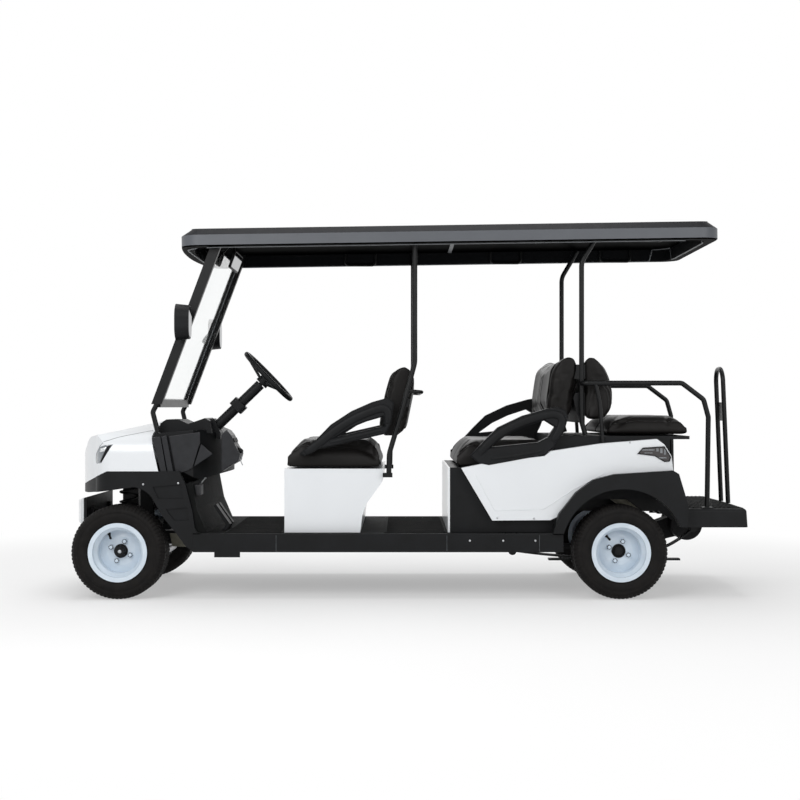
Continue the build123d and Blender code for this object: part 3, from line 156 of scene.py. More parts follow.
# Finishes that differ in values alone. Shades are (dark, light, size of the patches in mm), roughness is (low, high,
# size in mm), relief is (pattern, its options, size in mm, depth in mm, strength).
finishSettings = {
    # vacuum-formed ABS capped with gloss acrylic: clean white, sharp reflections over a slow ripple
    "acrylicCappedAbs": {
        "shader": {"IOR": 1.49, "Coat Weight": 0.3, "Coat Roughness": 0.08, "Coat IOR": 1.49},
        "shades": ("#E5E8EB", "#E7EAED", 260), "roughness": (0.27, 0.30, 80),
        "relief": ("TexNoise", {"Detail": 1.0}, 120, 0.2, 0.04),
    },
    # injection-moulded polypropylene with an etched leather grain: soft broad highlights on near-black
    "grainedPolypropylene": {
        "shader": {"IOR": 1.49, "Specular IOR Level": 0.17},
        "shades": ("#0F1011", "#141517", 90), "roughness": (0.44, 0.58, 30),
        "relief": ("TexVoronoi", {}, 3, 0.25, 0.35),      # real grain 1 mm, drawn at 3 mm
    },
    # black powder coat baked on steel: even satin, fine pebble where the powder flowed together
    "powderCoat": {
        "shader": {"IOR": 1.5, "Specular IOR Level": 0.2},
        "shades": ("#0D0E0F", "#121314", 70), "roughness": (0.3, 0.42, 40),
        "relief": ("TexNoise", {"Detail": 2.0}, 2.5, 0.15, 0.35),
    },
    # white enamel baked on pressed steel: cool white, glossy, with a trace of brake dust
    "rimEnamel": {
        "shader": {"IOR": 1.5, "Coat Weight": 0.5, "Coat Roughness": 0.08},
        "shades": ("#CBD8E4", "#D8E3ED", 60), "roughness": (0.24, 0.36, 25),
    },
    # sand-cast iron, dipped in black paint: dull, lumpy, dark
    "castIron": {
        "shader": {"IOR": 1.5, "Specular IOR Level": 0.2},
        "shades": ("#0E0E0F", "#171718", 25), "roughness": (0.5, 0.7, 12),
        "relief": ("TexNoise", {"Detail": 4.0}, 5, 0.5, 0.5),
    },
    # vulcanised rubber from a steel mould: matt black, slightly brown, dusty in patches
    "tyreRubber": {
        "shader": {"IOR": 1.52, "Specular IOR Level": 0.14},
        "shades": ("#0F0E0E", "#171514", 45), "roughness": (0.6, 0.8, 30),
        "relief": ("TexNoise", {"Detail": 3.0}, 3, 0.3, 0.4),
    },
    # cast acrylic sheet: clear, polished, faintly grey through its thickness
    "clearAcrylic": {
        "shader": {"IOR": 1.49, "Transmission Weight": 1.0, "Roughness": 0.0},
        "shades": ("#F3F6F6", "#F8FAFA", 300),
    },
    # injection-moulded polycarbonate with a hard coat over a dark housing: deep gloss, smoky grey
    "lampPolycarbonate": {
        "shader": {"IOR": 1.58, "Coat Weight": 1.0, "Coat Roughness": 0.02, "Coat IOR": 1.58},
        "shades": ("#5C6369", "#7C848B", 40), "roughness": (0.12, 0.2, 20),
        "relief": ("TexWave", {"bands_direction": "X"}, 9, 1.0, 0.3),
    },
    # smoked red acrylic: nearly black until light passes through it
    "smokedLens": {
        "shader": {"IOR": 1.49, "Coat Weight": 0.8, "Coat Roughness": 0.03},
        "shades": ("#171011", "#221517", 30), "roughness": (0.06, 0.14, 25),
    },
    # turned and zinc-plated steel: bright grey with fine machining lines
    "turnedSteel": {
        "shader": {"Metallic": 1.0}, "shades": ("#8E8F92", "#A5A7AA", 20), "roughness": (0.28, 0.45, 15),
    },
    # moulded copolymer battery case: dull charcoal
    "batteryCase": {
        "shader": {"IOR": 1.49}, "shades": ("#2A2A2C", "#333336", 60), "roughness": (0.5, 0.65, 30),
    },
    # vacuum-metallised reflector under the lens: mirror-bright aluminium with soft ripples
    "brightReflector": {
        "shader": {"Metallic": 1.0}, "shades": ("#D4D7DA", "#E6E8EA", 12), "roughness": (0.12, 0.22, 8),
    },
    # silvered float glass: grey mirror, very smooth
    "mirrorGlass": {
        "shader": {"Metallic": 1.0}, "shades": ("#5C5F62", "#66696C", 80), "roughness": (0.02, 0.05, 60),
    },
    # bright zinc-plated screw heads: silvery, softly worn
    "zincScrew": {
        "shader": {"Metallic": 1.0}, "shades": ("#A9ABAD", "#C3C5C7", 6), "roughness": (0.25, 0.4, 5),
    },
    # frosted light guides behind the tail lens: pale grey, softly shining
    "tailBar": {
        "shader": {"IOR": 1.49, "Coat Weight": 0.6, "Coat Roughness": 0.05},
        "shades": ("#63666A", "#7E8286", 15), "roughness": (0.2, 0.3, 10),
    },
    # rubber matting rolled with fine ribs along the cart: matt, charcoal
    "ribbedRubber": {
        "shader": {"IOR": 1.52, "Specular IOR Level": 0.03},
        "shades": ("#121313", "#191A1A", 80), "roughness": (0.6, 0.75, 30),
        "relief": ("TexWave", {"bands_direction": "Y"}, 26, 2.0, 0.5),      # 8 mm ribs
    },
    # injection-moulded ABS switch panel: satin dark grey
    "dashPlastic": {
        "shader": {"IOR": 1.5, "Specular IOR Level": 0.25},
        "shades": ("#1B1C1F", "#232427", 40), "roughness": (0.38, 0.5, 20),
    },
    # extruded grey PVC: plain mid grey, softly shining
    "linerGrey": {
        "shader": {"IOR": 1.53, "Specular IOR Level": 0.3},
        "shades": ("#6F7275", "#7D8083", 70), "roughness": (0.4, 0.55, 30),
    },
    # khaki enamel sprayed on steel: dull olive grey, dusty
    "damperPaint": {
        "shader": {"IOR": 1.5, "Specular IOR Level": 0.25},
        "shades": ("#67655A", "#7A776A", 30), "roughness": (0.45, 0.65, 20),
    },
    # painted shade in the joints and creases of the mouldings: dull dark grey
    "seamShadow": {
        "shader": {"IOR": 1.45, "Specular IOR Level": 0.1},
        "shades": ("#4A4D50", "#63676A", 30), "roughness": (0.7, 0.85, 20),
    },
}
roofPaintedLight = {
    # (place between facing down at 0 and facing up at 1, colour): painted shade below, a painted reflection on the
    # sides, painted shade on top
    "bands": [(0.38, "#060607"), (0.45, "#575A5F"), (0.68, "#575A5F"), (0.78, "#121317")],
    "under": {"From Min": -0.5, "From Max": -0.15, "To Min": 0.02, "To Max": 0.40},      # gloss of what faces down
    "above": {"From Min": 0.35, "From Max": 0.6, "To Min": 1.0, "To Max": 0.12},         # share of it left on top
    # share of colour and gloss left on faces that look back to the middle of the cart: painted shade inside
    "outside": {"From Min": 0.3, "From Max": 0.55, "To Min": 0.08},
}


def makeFinish(name, settings):
    finish, tree, shader, place = newFinish(name, settings["shader"])
    shadeVariation(tree, shader, place, *settings["shades"])
    if "roughness" in settings:
        roughnessVariation(tree, shader, place, *settings["roughness"])
    if "relief" in settings:
        kind, options, size, depth, strength = settings["relief"]
        pattern = addNode(tree, kind, {"Scale": perMetre(size), **options}, {"Vector": place})
        bumpFrom(tree, shader, pattern.outputs["Distance" if kind == "TexVoronoi" else "Fac"], depth, strength)
    return finish


def makeRotomouldedRoof():
    # rotationally moulded polyethylene with a slight orange peel. Its colour is painted light: a lighter grey painted
    # reflection on the sides, painted shade that darkens the top, and near-black painted shade with little gloss on the
    # underside and inside
    finish, tree, shader, place = newFinish("rotomouldedRoof", {"IOR": 1.51})
    shade = addNode(tree, "TexNoise", {"Scale": perMetre(140), "Detail": 3.0}, {"Vector": place})
    roughnessVariation(tree, shader, place, 0.36, 0.48, 50)
    peel = addNode(tree, "TexNoise", {"Scale": perMetre(6), "Detail": 2.0}, {"Vector": place})
    bumpFrom(tree, shader, peel, 0.4, 0.3)
    surface = addNode(tree, "NewGeometry").outputs
    facing = addNode(tree, "SeparateXYZ", links={"Vector": surface["Normal"]}).outputs["Z"]
    level = addNode(tree, "MapRange", {"From Min": -1.0, "From Max": 1.0}, {"Value": facing})
    # colour by how far a face looks up: painted shade below and on top, a painted reflection on the sides
    bands = addNode(tree, "ValToRGB", links={"Fac": level})
    stops = bands.color_ramp.elements
    stops.remove(stops[1])
    stops[0].position, stops[0].color = roofPaintedLight["bands"][0][0], colourOf(roofPaintedLight["bands"][0][1])
    for position, colour in roofPaintedLight["bands"][1:]:
        stops.new(position).color = colourOf(colour)
    spread = addNode(tree, "MapRange", {"To Min": 0.85, "To Max": 1.1}, {"Value": shade})
    # faces that look back to the middle of the cart are the inside: darkened and dulled as painted shade
    away = addNode(tree, "VectorMath", {"operation": "DOT_PRODUCT"}, {0: surface["Normal"], 1: surface["Position"]})
    outside = addNode(tree, "MapRange", roofPaintedLight["outside"], {"Value": away.outputs["Value"]})
    share = addNode(tree, "Math", {"operation": "MULTIPLY"}, {0: spread, 1: outside})
    colour = addNode(tree, "VectorMath", {"operation": "SCALE"}, {0: bands, "Scale": share})
    tree.links.new(colour.outputs["Vector"], shader.inputs["Base Color"])
    under = addNode(tree, "MapRange", roofPaintedLight["under"], {"Value": facing})
    above = addNode(tree, "MapRange", roofPaintedLight["above"], {"Value": facing})
    skin = addNode(tree, "Math", {"operation": "MULTIPLY"}, {0: under, 1: above})
    gloss = addNode(tree, "Math", {"operation": "MULTIPLY"}, {0: skin, 1: outside})
    tree.links.new(gloss.outputs[0], shader.inputs["Specular IOR Level"])
    return finish


def makeSeatVinyl():
    # PVC-coated knit with an embossed pebble grain: warm black, leathery glints on the crowns
    finish, tree, shader, place = newFinish("seatVinyl", {
        "IOR": 1.53, "Specular IOR Level": 0.14, "Sheen Weight": 0.02, "Sheen Roughness": 0.4,
    })
    shadeVariation(tree, shader, place, "#0F0E0D", "#151312", 120)
    roughnessVariation(tree, shader, place, 0.4, 0.52, 20)
    # real pebble 1.5 mm, drawn at 4 mm
    pebble = addNode(tree, "TexVoronoi", {"Scale": perMetre(4)}, {"Vector": place})
    folds = addNode(tree, "TexNoise", {"Scale": perMetre(110), "Detail": 1.0}, {"Vector": place})
    both = addNode(tree, "Math", {"operation": "MULTIPLY_ADD", 1: 3.0}, {0: folds, 2: pebble})
    bumpFrom(tree, shader, both, 0.5, 0.4)
    return finish


finishes = {name: makeFinish(name, settings) for name, settings in finishSettings.items()}
slotFinishes = {
    "body_white": "acrylicCappedAbs", "trim_black": "grainedPolypropylene", "mirror_shell": "grainedPolypropylene",
    "frame_black": "powderCoat", "post_black": "powderCoat", "spring_steel": "powderCoat",
    "rim_white": "rimEnamel", "hub_dark": "castIron", "motor_cast": "castIron", "tyre": "tyreRubber",
    "clear_screen": "clearAcrylic", "lamp_lens": "lampPolycarbonate", "tail_lens": "smokedLens",
    "steel_grey": "turnedSteel", "battery_case": "batteryCase",
}
for slot, name in slotFinishes.items():
    finishes[slot] = finishes[name]
finishes["roof_black"] = makeRotomouldedRoof()
finishes["seat_vinyl"] = makeSeatVinyl()
for part in frame["record"]["subparts"]:
    mesh = frame["nodes"][part["node"]].data
    mesh.materials.clear()
    mesh.materials.append(finishes[part["material_slot"]])
# the tray is covered with matting up to the toe board
frame["nodes"]["floor"].data.materials[0] = finishes["ribbedRubber"]
print("finishes made")


def newPiece(name, mesh, slot, finish=None, body="chassis", replaces=(), smooth=False, mirrored=False):
    # mesh may be a list of meshes; the finish is the slot's own unless another is named
    if isinstance(mesh, list):
        mesh = joined(name, mesh)
    if mirrored:
        mesh = withMirror(name, mesh)
    piece = placed(name, mesh)
    mesh.materials.clear()
    mesh.materials.append(finishes[finish or slot])
    if smooth:
        mesh.shade_smooth()
    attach(piece, body)
    if replaces:
        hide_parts(*replaces)
    return piece


samePlace = 1e-6      # points nearer than this are one
rooted = 0.001        # how far an added piece reaches into what carries it


def formOf(mesh):
    form = bmesh.new()
    form.from_mesh(mesh)
    bpy.data.meshes.remove(mesh)
    return form


def meshFrom(name, form):
    mesh = bpy.data.meshes.new(name)
    form.to_mesh(mesh)
    form.free()
    return mesh


def closedForm(name, vertices, faces, bevel=0.0):
    # closed mesh without double points, its faces turned outward and its edges eased by bevel
    mesh = bpy.data.meshes.new(name)
    mesh.from_pydata([tuple(v) for v in vertices], [], faces)
    mesh.validate()
    form = formOf(mesh)
    bmesh.ops.remove_doubles(form, verts=form.verts, dist=samePlace)
    bmesh.ops.recalc_face_normals(form, faces=form.faces)
    if bevel:
        bmesh.ops.bevel(form, geom=form.edges[:], offset=bevel, segments=2, profile=0.6, affect="EDGES",
                        clamp_overlap=True)
    return meshFrom(name, form)


def skinned(name, rings, closed=False, bevel=0.0):
    # form that runs through rings of points; it closes on itself or is capped at both ends
    count = len(rings[0])
    total = len(rings) * count
    faces = [] if closed else [tuple(range(count)), tuple(range(total - 1, total - count - 1, -1))]
    for start in range(0, total if closed else total - count, count):
        after = (start + count) % total
        for step in range(count):
            beside = (step + 1) % count
            faces.append((start + step, start + beside, after + beside, after + step))
    return closedForm(name, [point for ring in rings for point in ring], faces, bevel)


def slab(outline, low, high, bevel=0.0):
    # plate with an outline in X and Z, from y = low to y = high
    return skinned("slab", [[(x, y, z) for x, z in outline] for y in (low, high)], bevel=bevel)


def bar(low, high, bevel=0.0):
    outline = [(low[0], low[2]), (high[0], low[2]), (high[0], high[2]), (low[0], high[2])]
    return slab(outline, low[1], high[1], bevel)


def joined(name, meshes):
    form = bmesh.new()
    for mesh in meshes:
        form.from_mesh(mesh)
        bpy.data.meshes.remove(mesh)
    return meshFrom(name, form)


def withMirror(name, mesh):
    # the same again on the right side
    form = formOf(mesh)
    twin = bmesh.ops.duplicate(form, geom=form.verts[:] + form.edges[:] + form.faces[:])["geom"]
    bmesh.ops.scale(form, vec=(1, -1, 1), verts=[item for item in twin if isinstance(item, bmesh.types.BMVert)])
    bmesh.ops.reverse_faces(form, faces=[item for item in twin if isinstance(item, bmesh.types.BMFace)])
    return meshFrom(name, form)


def tube(points, radius, sides=8, loop=False):
    curve = bpy.data.curves.new("tube", "CURVE")
    setAll(curve, {"dimensions": "3D", "bevel_depth": radius, "bevel_resolution": max(0, sides // 2 - 2),
                   "use_fill_caps": True})
    line = curve.splines.new("POLY")
    line.points.add(len(points) - 1)
    for point, at in zip(line.points, points):
        point.co = (*at, 1)
    line.use_cyclic_u = loop
    holder = bpy.data.objects.new("tube", curve)
    mesh = bpy.data.meshes.new_from_object(holder)
    bpy.data.objects.remove(holder)
    form = formOf(mesh)
    bmesh.ops.remove_doubles(form, verts=form.verts, dist=radius * 0.05)
    bmesh.ops.recalc_face_normals(form, faces=form.faces)
    return meshFrom("tube", form)


def lathe(profile, centre, direction, steps=48):
    # profile of (radius, along) turned about a line from centre in a direction
    centre, direction = Vector(centre), Vector(direction).normalized()
    across = direction.orthogonal().normalized()
    other = direction.cross(across)
    turns = [2 * math.pi * step / steps for step in range(steps)]
    spokes = [across * math.cos(turn) + other * math.sin(turn) for turn in turns]
    rings = [[centre + direction * along + spoke * radius for spoke in spokes] for radius, along in profile]
    return skinned("lathe", rings)


def roundedRim(halfWidth, halfHeight, corner, steps):
    # outline of a rounded rectangle about 0, with each corner in steps
    rim = []
    for cornerX, cornerY, start in ((1, 1, 0), (-1, 1, 90), (-1, -1, 180), (1, -1, 270)):
        for step in range(steps + 1):
            angle = math.radians(start + step * 90 / steps)
            rim.append((cornerX * (halfWidth - corner) + corner * math.cos(angle),
                        cornerY * (halfHeight - corner) + corner * math.sin(angle)))
    return rim


def roundedPlate(centre, across, up, width, height, corner, thickness):
    # rounded plate about a centre, spanned by two directions
    across, up = Vector(across).normalized(), Vector(up).normalized()
    normal = across.cross(up)
    rim = roundedRim(width / 2, height / 2, corner, 6)
    rings = [[Vector(centre) + across * x + up * y + normal * depth for x, y in rim] for depth in (0, thickness)]
    return skinned("plate", rings)


def evaluated(holder):
    mesh = bpy.data.meshes.new_from_object(holder.evaluated_get(bpy.context.evaluated_depsgraph_get()))
    bpy.data.objects.remove(holder)
    return mesh


def withModifier(mesh, kind, settings):
    holder = placed("holder", mesh)
    setAll(holder.modifiers.new(kind, kind), settings)
    return evaluated(holder)


def surfaceOf(node):
    mesh = frame["nodes"][node].data
    return BVHTree.FromPolygons([v.co for v in mesh.vertices], [p.vertices for p in mesh.polygons])


def slopeOf(surface, x, y, heights):
    # two points of a sloping face, looked for from x towards the front, the way up it and the way off it
    lower, upper = [surface.ray_cast(Vector((x, y, z)), Vector((-1, 0, 0)))[0] for z in heights]
    climb = (upper - lower).normalized()
    return lower, upper, climb, Vector((climb.z, 0, -climb.x))


def runAlong(points, stride):
    # points a stride apart along straight runs
    places = []
    for start, end in zip(points, points[1:]):
        start, end = Vector(start), Vector(end)
        count = max(1, math.ceil((end - start).length / stride))
        places += [start.lerp(end, step / count) for step in range(count)]
    return places + [Vector(points[-1])]


def fromFrontAxle(points):
    return [(frontAxle + x, z) for x, z in points]


def fromRearAxle(points):
    return [(rearAxle + x, z) for x, z in points]


leftOfAll = -0.75      # rays that look for the left skin start here


def seamOn(surface, line, radius):
    # fine bead laid on the left skin, by an outline in X and Z
    places = []
    for x, z in runAlong(line, 0.012):
        hit = surface.ray_cast(Vector((x, leftOfAll, z)), Vector((0, 1, 0)))[0]
        if hit is not None:
            places.append(hit)
    return tube(places, radius, 6)


# tyres: moulded carcass with grooves round it and lugs on the shoulders
tyres = {
    "pitches": 72,             # shoulder blocks round the tyre
    "grooveDepth": 0.006,
    "cutDepth": 0.0026,        # of the cuts between two blocks
    "cuts": [(0, 0), (0.60, 0), (0.66, 1), (0.94, 1)],      # (share of a pitch, share of the cut there)
    "skew": 0.35,              # of a pitch, to each side
    "beadRadius": 0.1285, "beadHalf": 0.04, "treadFrom": 0.2,
}


def tyreMesh(centre, side):
    radius, half = tyreRadius, tyreHalfWidth
    deep, bead = tyres["grooveDepth"], tyres["beadRadius"]
    # (radius, out, share of the cut between two lugs)
    wall = [
        (bead, 0.088, 0), (0.1445, 0.0892, 0), (0.1475, 0.0925, 0), (0.158, 0.0985, 0),
        (0.172, half - 0.0012, 0), (0.184, half - 0.0002, 0), (0.190, half - 0.0030, 0), (0.1925, half - 0.0030, 0),
        (0.196, half - 0.0012, 0), (0.204, half - 0.0040, 0), (0.210, half - 0.0052, 0.6), (0.2155, half - 0.0105, 1),
        (0.2235, half - 0.0210, 1), (radius - 0.0008, half - 0.0290, 1), (radius, half - 0.0360, 1),
        (radius, 0.040, 0.9), (radius - deep, 0.038, 0), (radius - deep, 0.031, 0), (radius, 0.029, 0.25),
        (radius, 0.007, 0.25), (radius - deep, 0.0055, 0),
    ]
    profile = wall + [(r, -out, cut) for r, out, cut in reversed(wall)]
    profile += [(bead, -tyres["beadHalf"], 0), (bead, tyres["beadHalf"], 0)]
    pitch = 2 * math.pi / tyres["pitches"]
    steps = [(count * pitch + share * pitch, cut)
             for count in range(tyres["pitches"]) for share, cut in tyres["cuts"]]
    rings = []
    for angle, cut in steps:
        ring = []
        for radiusAt, out, share in profile:
            skew = tyres["skew"] * pitch * (1 if out > 0 else -1) * min(1, abs(out) / tyres["beadHalf"])
            reach = radiusAt - tyres["cutDepth"] * cut * share
            turn = angle + (skew if radiusAt > tyres["treadFrom"] else 0)
            ring.append((centre.x + reach * math.cos(turn), centre.y + side * out, centre.z + reach * math.sin(turn)))
        rings.append(ring)
    return skinned("tyre", rings, closed=True)


# small pieces of each wheel: lug nuts and valve stem
fittings = {
    "nuts": 4, "studCircle": 0.051, "studAngle": 68, "nutAcross": 0.0232, "nutHeight": 0.0182,
    "discFace": 0.001,
    "stemAngle": {"front": 122, "rear": 130},      # degrees from the rear
    "stemCircle": 0.101, "stemOut": 0.026, "stemLean": (0.75, 0.65),
    "stem": [(0.0085, -0.004), (0.0085, 0.003), (0.0062, 0.006), (0.0052, 0.026), (0.0058, 0.027), (0.0058, 0.036),
             (0.004, 0.038), (0, 0.0385)],
}


def nutMesh(at, direction, spin):
    # hexagon with a turned chamfer and a domed end
    across, height = fittings["nutAcross"] / 2, fittings["nutHeight"]
    corner = across / math.cos(math.pi / 6)
    mesh = lathe([(across * 0.98, 0), (corner, 0.002), (corner, height * 0.72), (across * 0.9, height * 0.86),
                  (across * 0.55, height), (0, height + 0.0014)], at, direction, steps=24)
    for vertex in mesh.vertices:
        offset = vertex.co - at
        height = offset.dot(direction)
        flat = offset - direction * height
        if flat.length > across * 0.95:
            angle = math.atan2(flat.z, flat.x) - spin
            sector = (angle + math.pi / 6) % (math.pi / 3) - math.pi / 6
            limit = across / math.cos(sector)
            vertex.co = at + direction * height + flat.normalized() * min(flat.length, limit)
    return mesh


for end, sideName, side in wheels:
    body, tyre = f"wheel_{end}_{sideName}", f"tyre_{end}_{sideName}"
    middle = centreOf(tyre)
    outward = Vector((0, side, 0))
    newPiece(f"tyreTread_{end}_{sideName}", tyreMesh(middle, side), "tyre", body=body, replaces=(tyre,), smooth=True)
    nuts = []
    for count in range(fittings["nuts"]):
        angle = math.radians(fittings["studAngle"] + 360 / fittings["nuts"] * count)
        reach = fittings["studCircle"]
        at = middle + Vector((reach * math.cos(angle), side * fittings["discFace"], reach * math.sin(angle)))
        nuts.append(nutMesh(at, outward, angle))
    newPiece(f"lugNuts_{end}_{sideName}", nuts, "rim_white", body=body)
    angle = math.radians(fittings["stemAngle"][end])
    spoke = Vector((math.cos(angle), 0, math.sin(angle)))
    out, back = fittings["stemLean"]
    foot = middle + spoke * fittings["stemCircle"] + outward * fittings["stemOut"]
    stem = lathe(fittings["stem"], foot, outward * out - spoke * back, steps=16)
    newPiece(f"valveStem_{end}_{sideName}", stem, "tyre", body=body, smooth=True)
print("wheels dressed")


# seats: padded covers blown up by cloth simulation, then sewn channels pressed in
seats = {
    "voxel": 0.0125,
    "inset": 0.008,            # the pad starts this much inside its box
    "cloth": {"use_pressure": True, "uniform_pressure_force": 4.0, "quality": 4, "tension_stiffness": 12,
              "bending_stiffness": 2.0, "vertex_group_mass": "board"},
    "frames": 20,
    "cap": 0.026,              # farthest that a point may move
    "proud": 0.007,            # how far the cover may stand over the plain form
    "seamDepth": 0.007, "seamWidth": 0.008, "seamReach": 2.5,      # reach in widths
    "seatMiddle": 0.24, "seatWidth": 0.5,      # middle of each seat, from the middle of the cart
}


def blownUp(mesh, holdBelow):
    # cloth under air pressure; the underside is held to its board
    start = [vertex.co.copy() for vertex in mesh.vertices]
    holder = placed("padCloth", mesh)
    pins = holder.vertex_groups.new(name="board")
    pins.add([v.index for v in mesh.vertices if holdBelow(v.co)], 1.0, "REPLACE")
    cloth = holder.modifiers.new("cloth", "CLOTH")
    setAll(cloth.settings, seats["cloth"])
    cloth.settings.effector_weights.gravity = 0
    cloth.collision_settings.use_collision = False
    for number in range(1, seats["frames"] + 1):
        bpy.context.scene.frame_set(number)
    blown = evaluated(holder)
    bpy.context.scene.frame_set(1)
    for vertex, before in zip(blown.vertices, start):
        shift = vertex.co - before
        if shift.length > seats["cap"]:
            vertex.co = before + shift.normalized() * seats["cap"]
    return blown


def pressSeams(mesh, seams):
    # a seam is a function of place that gives the distance from its line
    normals = [vertex.normal.copy() for vertex in mesh.vertices]
    for vertex, normal in zip(mesh.vertices, normals):
        for distance in seams:
            gap = abs(distance(vertex.co)) / seats["seamWidth"]
            if gap < seats["seamReach"]:
                vertex.co -= normal * seats["seamDepth"] * math.exp(-gap * gap)


def seatPad(name, node, holdBelow, seams, shapeStart):
    low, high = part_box(node)
    middle = (low + high) / 2
    size = high - low
    mesh = frame["nodes"][node].data.copy()
    for vertex in mesh.vertices:
        for axis in range(3):
            share = 1 - 2 * seats["inset"] / size[axis]
            vertex.co[axis] = middle[axis] + (vertex.co[axis] - middle[axis]) * share
    mesh = withModifier(mesh, "REMESH", {"mode": "VOXEL", "voxel_size": seats["voxel"], "use_smooth_shade": True})
    for vertex in mesh.vertices:
        shapeStart(vertex.co)
    mesh = blownUp(mesh, holdBelow)
    mesh = withModifier(mesh, "SUBSURF", {"levels": 1})
    pressSeams(mesh, seams)
    proud = seats["proud"]
    lowest = (low.x - proud, low.y, low.z)
    highest = (high.x + proud, high.y, high.z + proud)
    for vertex in mesh.vertices:
        for axis in range(3):
            vertex.co[axis] = min(max(vertex.co[axis], lowest[axis]), highest[axis])
    piece = newPiece(name, mesh, "seat_vinyl", replaces=(node,), smooth=True)
    print(name, len(mesh.polygons), "faces")


def acrossSeam(y):
    # seam over the pad from front to back, at a distance each side of the middle
    return lambda place: abs(place.y) - y


def lengthSeam(x, z):
    # seam along the seat, where the top panel meets the front roll
    return lambda place: (place.x - x) if place.z > z else 1.0


cushions = {"roll": 0.26, "endSeam": 0.035, "endDrop": 0.012, "crown": 0.006, "board": 0.03}
for row, frontWard in (("front", -1), ("middle", -1), ("rear", 1)):
    low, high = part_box(f"{row}_cushion")
    depth, height = high.x - low.x, high.z - low.z
    roll = cushions["roll"] * depth

    def crown(place, low=low, high=high, height=height):
        # the cover is fuller in the middle of each seat and lower at its ends
        if place.z > low.z + 0.5 * height:
            place.z -= cushions["endDrop"] * min(abs(place.y) / high.y, 1) ** 4
            aside = (abs(place.y) - seats["seatMiddle"]) / seats["seatWidth"]
            place.z += cushions["crown"] * math.cos(math.pi * aside)

    seatPad(f"{row}CushionPad", f"{row}_cushion", lambda place, low=low: place.z < low.z + cushions["board"], [
        acrossSeam(0.0), lengthSeam(low.x + roll if frontWard < 0 else high.x - roll, low.z + 0.6 * height),
        acrossSeam(high.y - cushions["endSeam"]),
    ], crown)

backs = {
    "endSeam": 0.03, "bolster": 0.135, "bolsterBow": 0.035,
    "shoulder": 0.020, "shoulderFrom": 0.4,      # how far the upper corners drop, from this share of the height
    "hollow": 0.010, "hollowFall": 2.2,          # between the bolsters
    "hollowTop": 0.85, "hollowAbove": 0.3,       # what is left of the hollow above this share of the height
}


def backSeam(low, high):
    # curved seam of a side bolster: nearer the end at half the height of the backrest
    def distance(place):
        rise = (place.z - low.z) / (high.z - low.z)
        return (abs(abs(place.y) - seats["seatMiddle"])
                - (backs["bolster"] + backs["bolsterBow"] * math.sin(math.pi * rise)))

    return distance


for row, faceSide in (("front", -1), ("middle", -1), ("rear", 1)):
    low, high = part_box(f"{row}_backrest")

    def lobe(place, low=low, high=high, faceSide=faceSide):
        # two backs side by side, rounded at their upper corners and hollowed between the bolsters
        rise = (place.z - low.z) / (high.z - low.z)
        across = abs(abs(place.y) - seats["seatMiddle"]) / seats["seatMiddle"]
        place.z -= backs["shoulder"] * max(0, rise - backs["shoulderFrom"]) * across ** 4
        depth = backs["hollow"] * (1 if rise < backs["hollowTop"] else backs["hollowAbove"])
        place.x -= faceSide * depth * max(0, 1 - across * across * backs["hollowFall"])

    seatPad(f"{row}BackrestPad", f"{row}_backrest", lambda place: False, [
        acrossSeam(0.0), backSeam(low, high), acrossSeam(high.y - backs["endSeam"]),
    ], lobe)
print("seats upholstered")


# headlamps: reflector under the cover and the black wedge behind it, as outlines back from the front axle
headlamps = {
    "reflector": [(-0.094, 0.735), (-0.060, 0.744), (-0.070, 0.722), (-0.098, 0.716)],
    "wedge": [(-0.057, 0.746), (-0.034, 0.753), (-0.087, 0.666), (-0.097, 0.668)],
    "proud": 0.0012,
}


def skinPatch(node, outline, proud, shown):
    # the part of a node's skin inside a convex outline in X and Z, as a thin closed plate
    form = bmesh.new()
    form.from_mesh(frame["nodes"][node].data)
    middle = Vector((sum(p[0] for p in outline), 0, sum(p[1] for p in outline))) / len(outline)
    for start, end in zip(outline, outline[1:] + outline[:1]):
        edge = Vector((end[0] - start[0], 0, end[1] - start[1]))
        normal = Vector((edge.z, 0, -edge.x))
        if normal.dot(middle - Vector((start[0], 0, start[1]))) > 0:
            normal = -normal
        bmesh.ops.bisect_plane(form, geom=form.verts[:] + form.edges[:] + form.faces[:],
                               plane_co=(start[0], 0, start[1]), plane_no=normal, clear_outer=True)
    form.normal_update()
    bmesh.ops.delete(form, geom=[face for face in form.faces if not shown(face)], context="FACES")
    bmesh.ops.remove_doubles(form, verts=form.verts, dist=1e-5)
    return withModifier(meshFrom("skin", form), "SOLIDIFY", {"thickness": proud * 2, "offset": 0})


def lampOutward(face):
    side = 1 if face.calc_center_median().y > 0 else -1
    return face.normal.dot(Vector((-0.6, side, 0.3))) > 0.25


for name, key, slot, finish in (("lampReflectors", "reflector", "lamp_lens", "brightReflector"),
                                ("lampWedges", "wedge", "trim_black", None)):
    patch = skinPatch("headlamps", fromFrontAxle(headlamps[key]), headlamps["proud"], lampOutward)
    newPiece(name, patch, slot, finish)

# tail lamps: black rim and grey light bars over the smoked lens, back from the rear axle
tail = {
    "outline": [(0.085, 0.708), (0.112, 0.739), (0.218, 0.746), (0.251, 0.693), (0.244, 0.671), (0.218, 0.669),
                (0.169, 0.698)],
    "lensFace": 0.541, "rim": 0.005, "rimProud": 0.002, "rimInto": 0.004, "barProud": 0.0014, "barInto": 0.002,
    "barBevel": 0.001,
    "bars": [      # (start, end, low, high)
        (0.108, 0.170, 0.7245, 0.7310), (0.120, 0.160, 0.7110, 0.7150), (0.178, 0.190, 0.720, 0.735),
        (0.197, 0.209, 0.712, 0.735), (0.216, 0.226, 0.704, 0.732), (0.190, 0.228, 0.686, 0.692),
    ],
}


